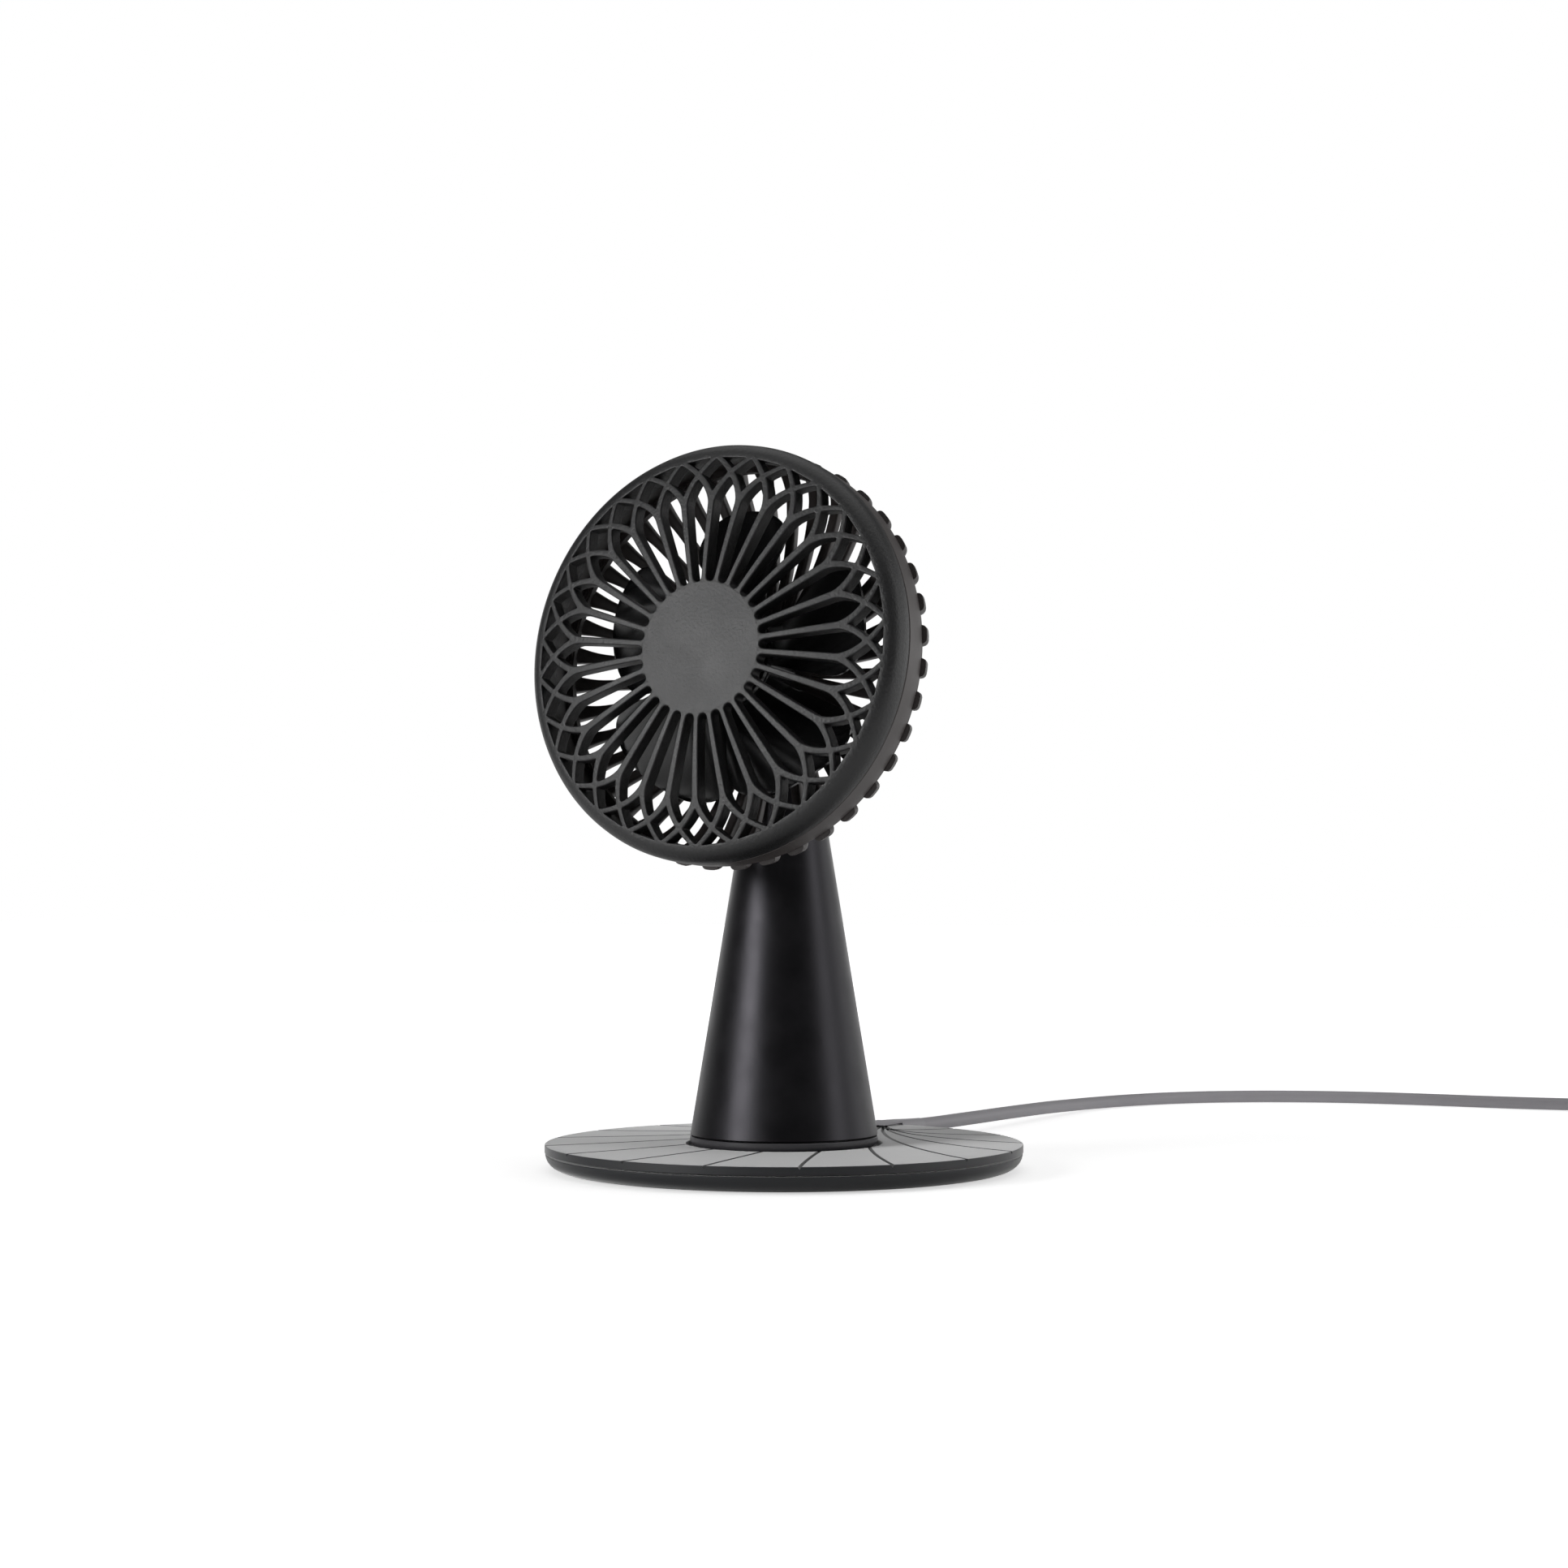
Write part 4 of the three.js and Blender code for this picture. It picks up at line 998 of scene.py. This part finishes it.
rear_hub = turned("rear_hub", [
    (0, -25), (16.2, -25), (17, -25.5), (17, -27.2), *corner(15.8, -27.3, 1.2, 0, -90, 5),
    (0, -REAR_DEPTH),
], GREY_ABS, 120, head_at)
rear_ring = turned("rear_ring", [
    (54.9, -9.3), (58.5, -9.3), (58.5, -11.3), (54.9, -11.3),
], GREY_ABS, 160, head_at)
joined(bars, rear_hub, rear_ring)
shaded(bars, 45)
settle(bars, "fan_body", "grey_abs", "rear_grille")


# The impeller ---------------------------------------------------------------------------
# Five broad blades and a cup, moulded in one piece in glossy black polycarbonate and pressed
# onto the motor's shaft.

def gloss_polycarbonate():
    """Polycarbonate from a polished mould: deep black, with sharp reflections."""
    material, tree, shader, place = new_material("glossy black polycarbonate", "#0c0c0d", 0.16,
                                                 ior=1.58)
    mottle(tree, shader, place, "#0b0b0c", "#101011", 18, (0.13, 0.22))
    return material


GLOSS = gloss_polycarbonate()
ROTOR = 15.5  # radius of the cup
TIP = 43  # radius of the blades' tips
BLADES = 5
BLADE_MIDDLE = -10.25  # along the axis from the seam
BLADE_TWIST = 13.5  # fall in mm for each radian round the hub
BLADE_HALF = 30  # half of a blade's width in degrees
CAMBER = 1.2
ROUND_FROM = 0.62  # share of the blade's length where its tip starts to round
ACROSS = 22  # steps across a blade, and out along it
OUT = 26


def blade_side(made, side):
    """Adds the front (1) or the back (-1) of a blade, and gives its grid of points."""
    grid = []
    for i in range(OUT + 1):
        t = 1 - (1 - i / OUT) ** 1.6
        radius = ROTOR - 1 + (TIP - ROTOR + 1) * t
        fall = max(0.0, (t - ROUND_FROM) / (1 - ROUND_FROM))
        half = math.radians(BLADE_HALF * math.sqrt(max(0.0, 1 - fall ** 3.2 * 0.78)))
        row = []
        for j in range(ACROSS + 1):
            u = 2 * j / ACROSS - 1
            angle = u * half
            thin = 0.45 + 0.35 * (1 - u ** 4) * (1 - 0.5 * t)
            height = BLADE_MIDDLE - BLADE_TWIST * angle + CAMBER * (1 - u * u) * t + side * thin
            place = Vector((radius * math.cos(angle), radius * math.sin(angle), height)) * MM
            row.append(made.verts.new(place))
        grid.append(row)
    for i in range(OUT):
        for j in range(ACROSS):
            made.faces.new((grid[i][j], grid[i + 1][j], grid[i + 1][j + 1], grid[i][j + 1]))
    return grid


def edge_of(grid):
    """The points round the edge of a grid, in order."""
    return (grid[0] + [row[-1] for row in grid[1:]] + grid[-1][-2::-1]
            + [row[0] for row in grid[-2:0:-1]])


made = bmesh.new()
front_edge, back_edge = (edge_of(blade_side(made, side)) for side in (1, -1))
for i in range(len(front_edge)):
    j = (i + 1) % len(front_edge)
    made.faces.new((front_edge[i], front_edge[j], back_edge[j], back_edge[i]))
blades = mesh_object("impeller_blades", made, GLOSS)
repeated(blades, BLADES, math.pi / 2, GLOSS, head_at)
CUP_FRONT = -3
CUP_BACK = -18
cup = turned("impeller_cup", [
    (0, CUP_FRONT), (ROTOR - 2.5, CUP_FRONT), *corner(ROTOR - 2, CUP_FRONT - 2, 2, 80, 0, 6),
    (ROTOR, CUP_BACK), (ROTOR - 2, CUP_BACK), (ROTOR - 2, CUP_FRONT - 1.8),
    (3.2, CUP_FRONT - 1.8), (3.2, CUP_FRONT - 4.2), (1.3, CUP_FRONT - 4.2),
    (1.3, CUP_FRONT - 1.9), (0, CUP_FRONT - 1.9),
], GLOSS, 120, head_at)
joined(blades, cup)
shaded(blades, 50)
settle(blades, "rotor", "gloss_black", "impeller")


# What stays from the frame --------------------------------------------------------------
# The motor, the cell, the boards, the coils and the screws keep their own shapes: they sit
# inside the casings, and only their finishes are given here.

def plain_finish(name, low, high, roughness, metallic, patch, size, height):
    """An inner part's finish: two close colours in patches, and a fine grain."""
    material, tree, shader, place = new_material(name, low, roughness[0], metallic)
    mottle(tree, shader, place, low, high, patch, roughness)
    grain(tree, shader, place, size, height)
    return material


finishes = {
    "steel": ZINC_STEEL,
    "copper": plain_finish("enamelled copper wire", "#a8602f", "#bf7742", (0.28, 0.42), 1.0,
                           0.8, 0.35, 0.06),
    "ferrite": plain_finish("sintered ferrite", "#37373a", "#424245", (0.6, 0.75), 0.0,
                            2, 0.2, 0.02),
    "green_board": plain_finish("solder masked board", "#1c5535", "#23633f", (0.35, 0.5), 0.0,
                                3, 0.4, 0.02),
    "blue_sleeve": plain_finish("shrunk blue sleeve", "#2c5a98", "#3566a8", (0.3, 0.42), 0.0,
                                8, 1.2, 0.03),
    "grey_abs": GREY_ABS,
    "gloss_black": GLOSS,
    "black_rubber": RUBBER,
    "black_abs": BLACK_ABS,
}
for part in frame["record"]["subparts"]:
    kept = frame["nodes"][part["node"]]
    if not kept.hide_render:
        kept.data.materials.clear()
        kept.data.materials.append(finishes[part["material_slot"]])
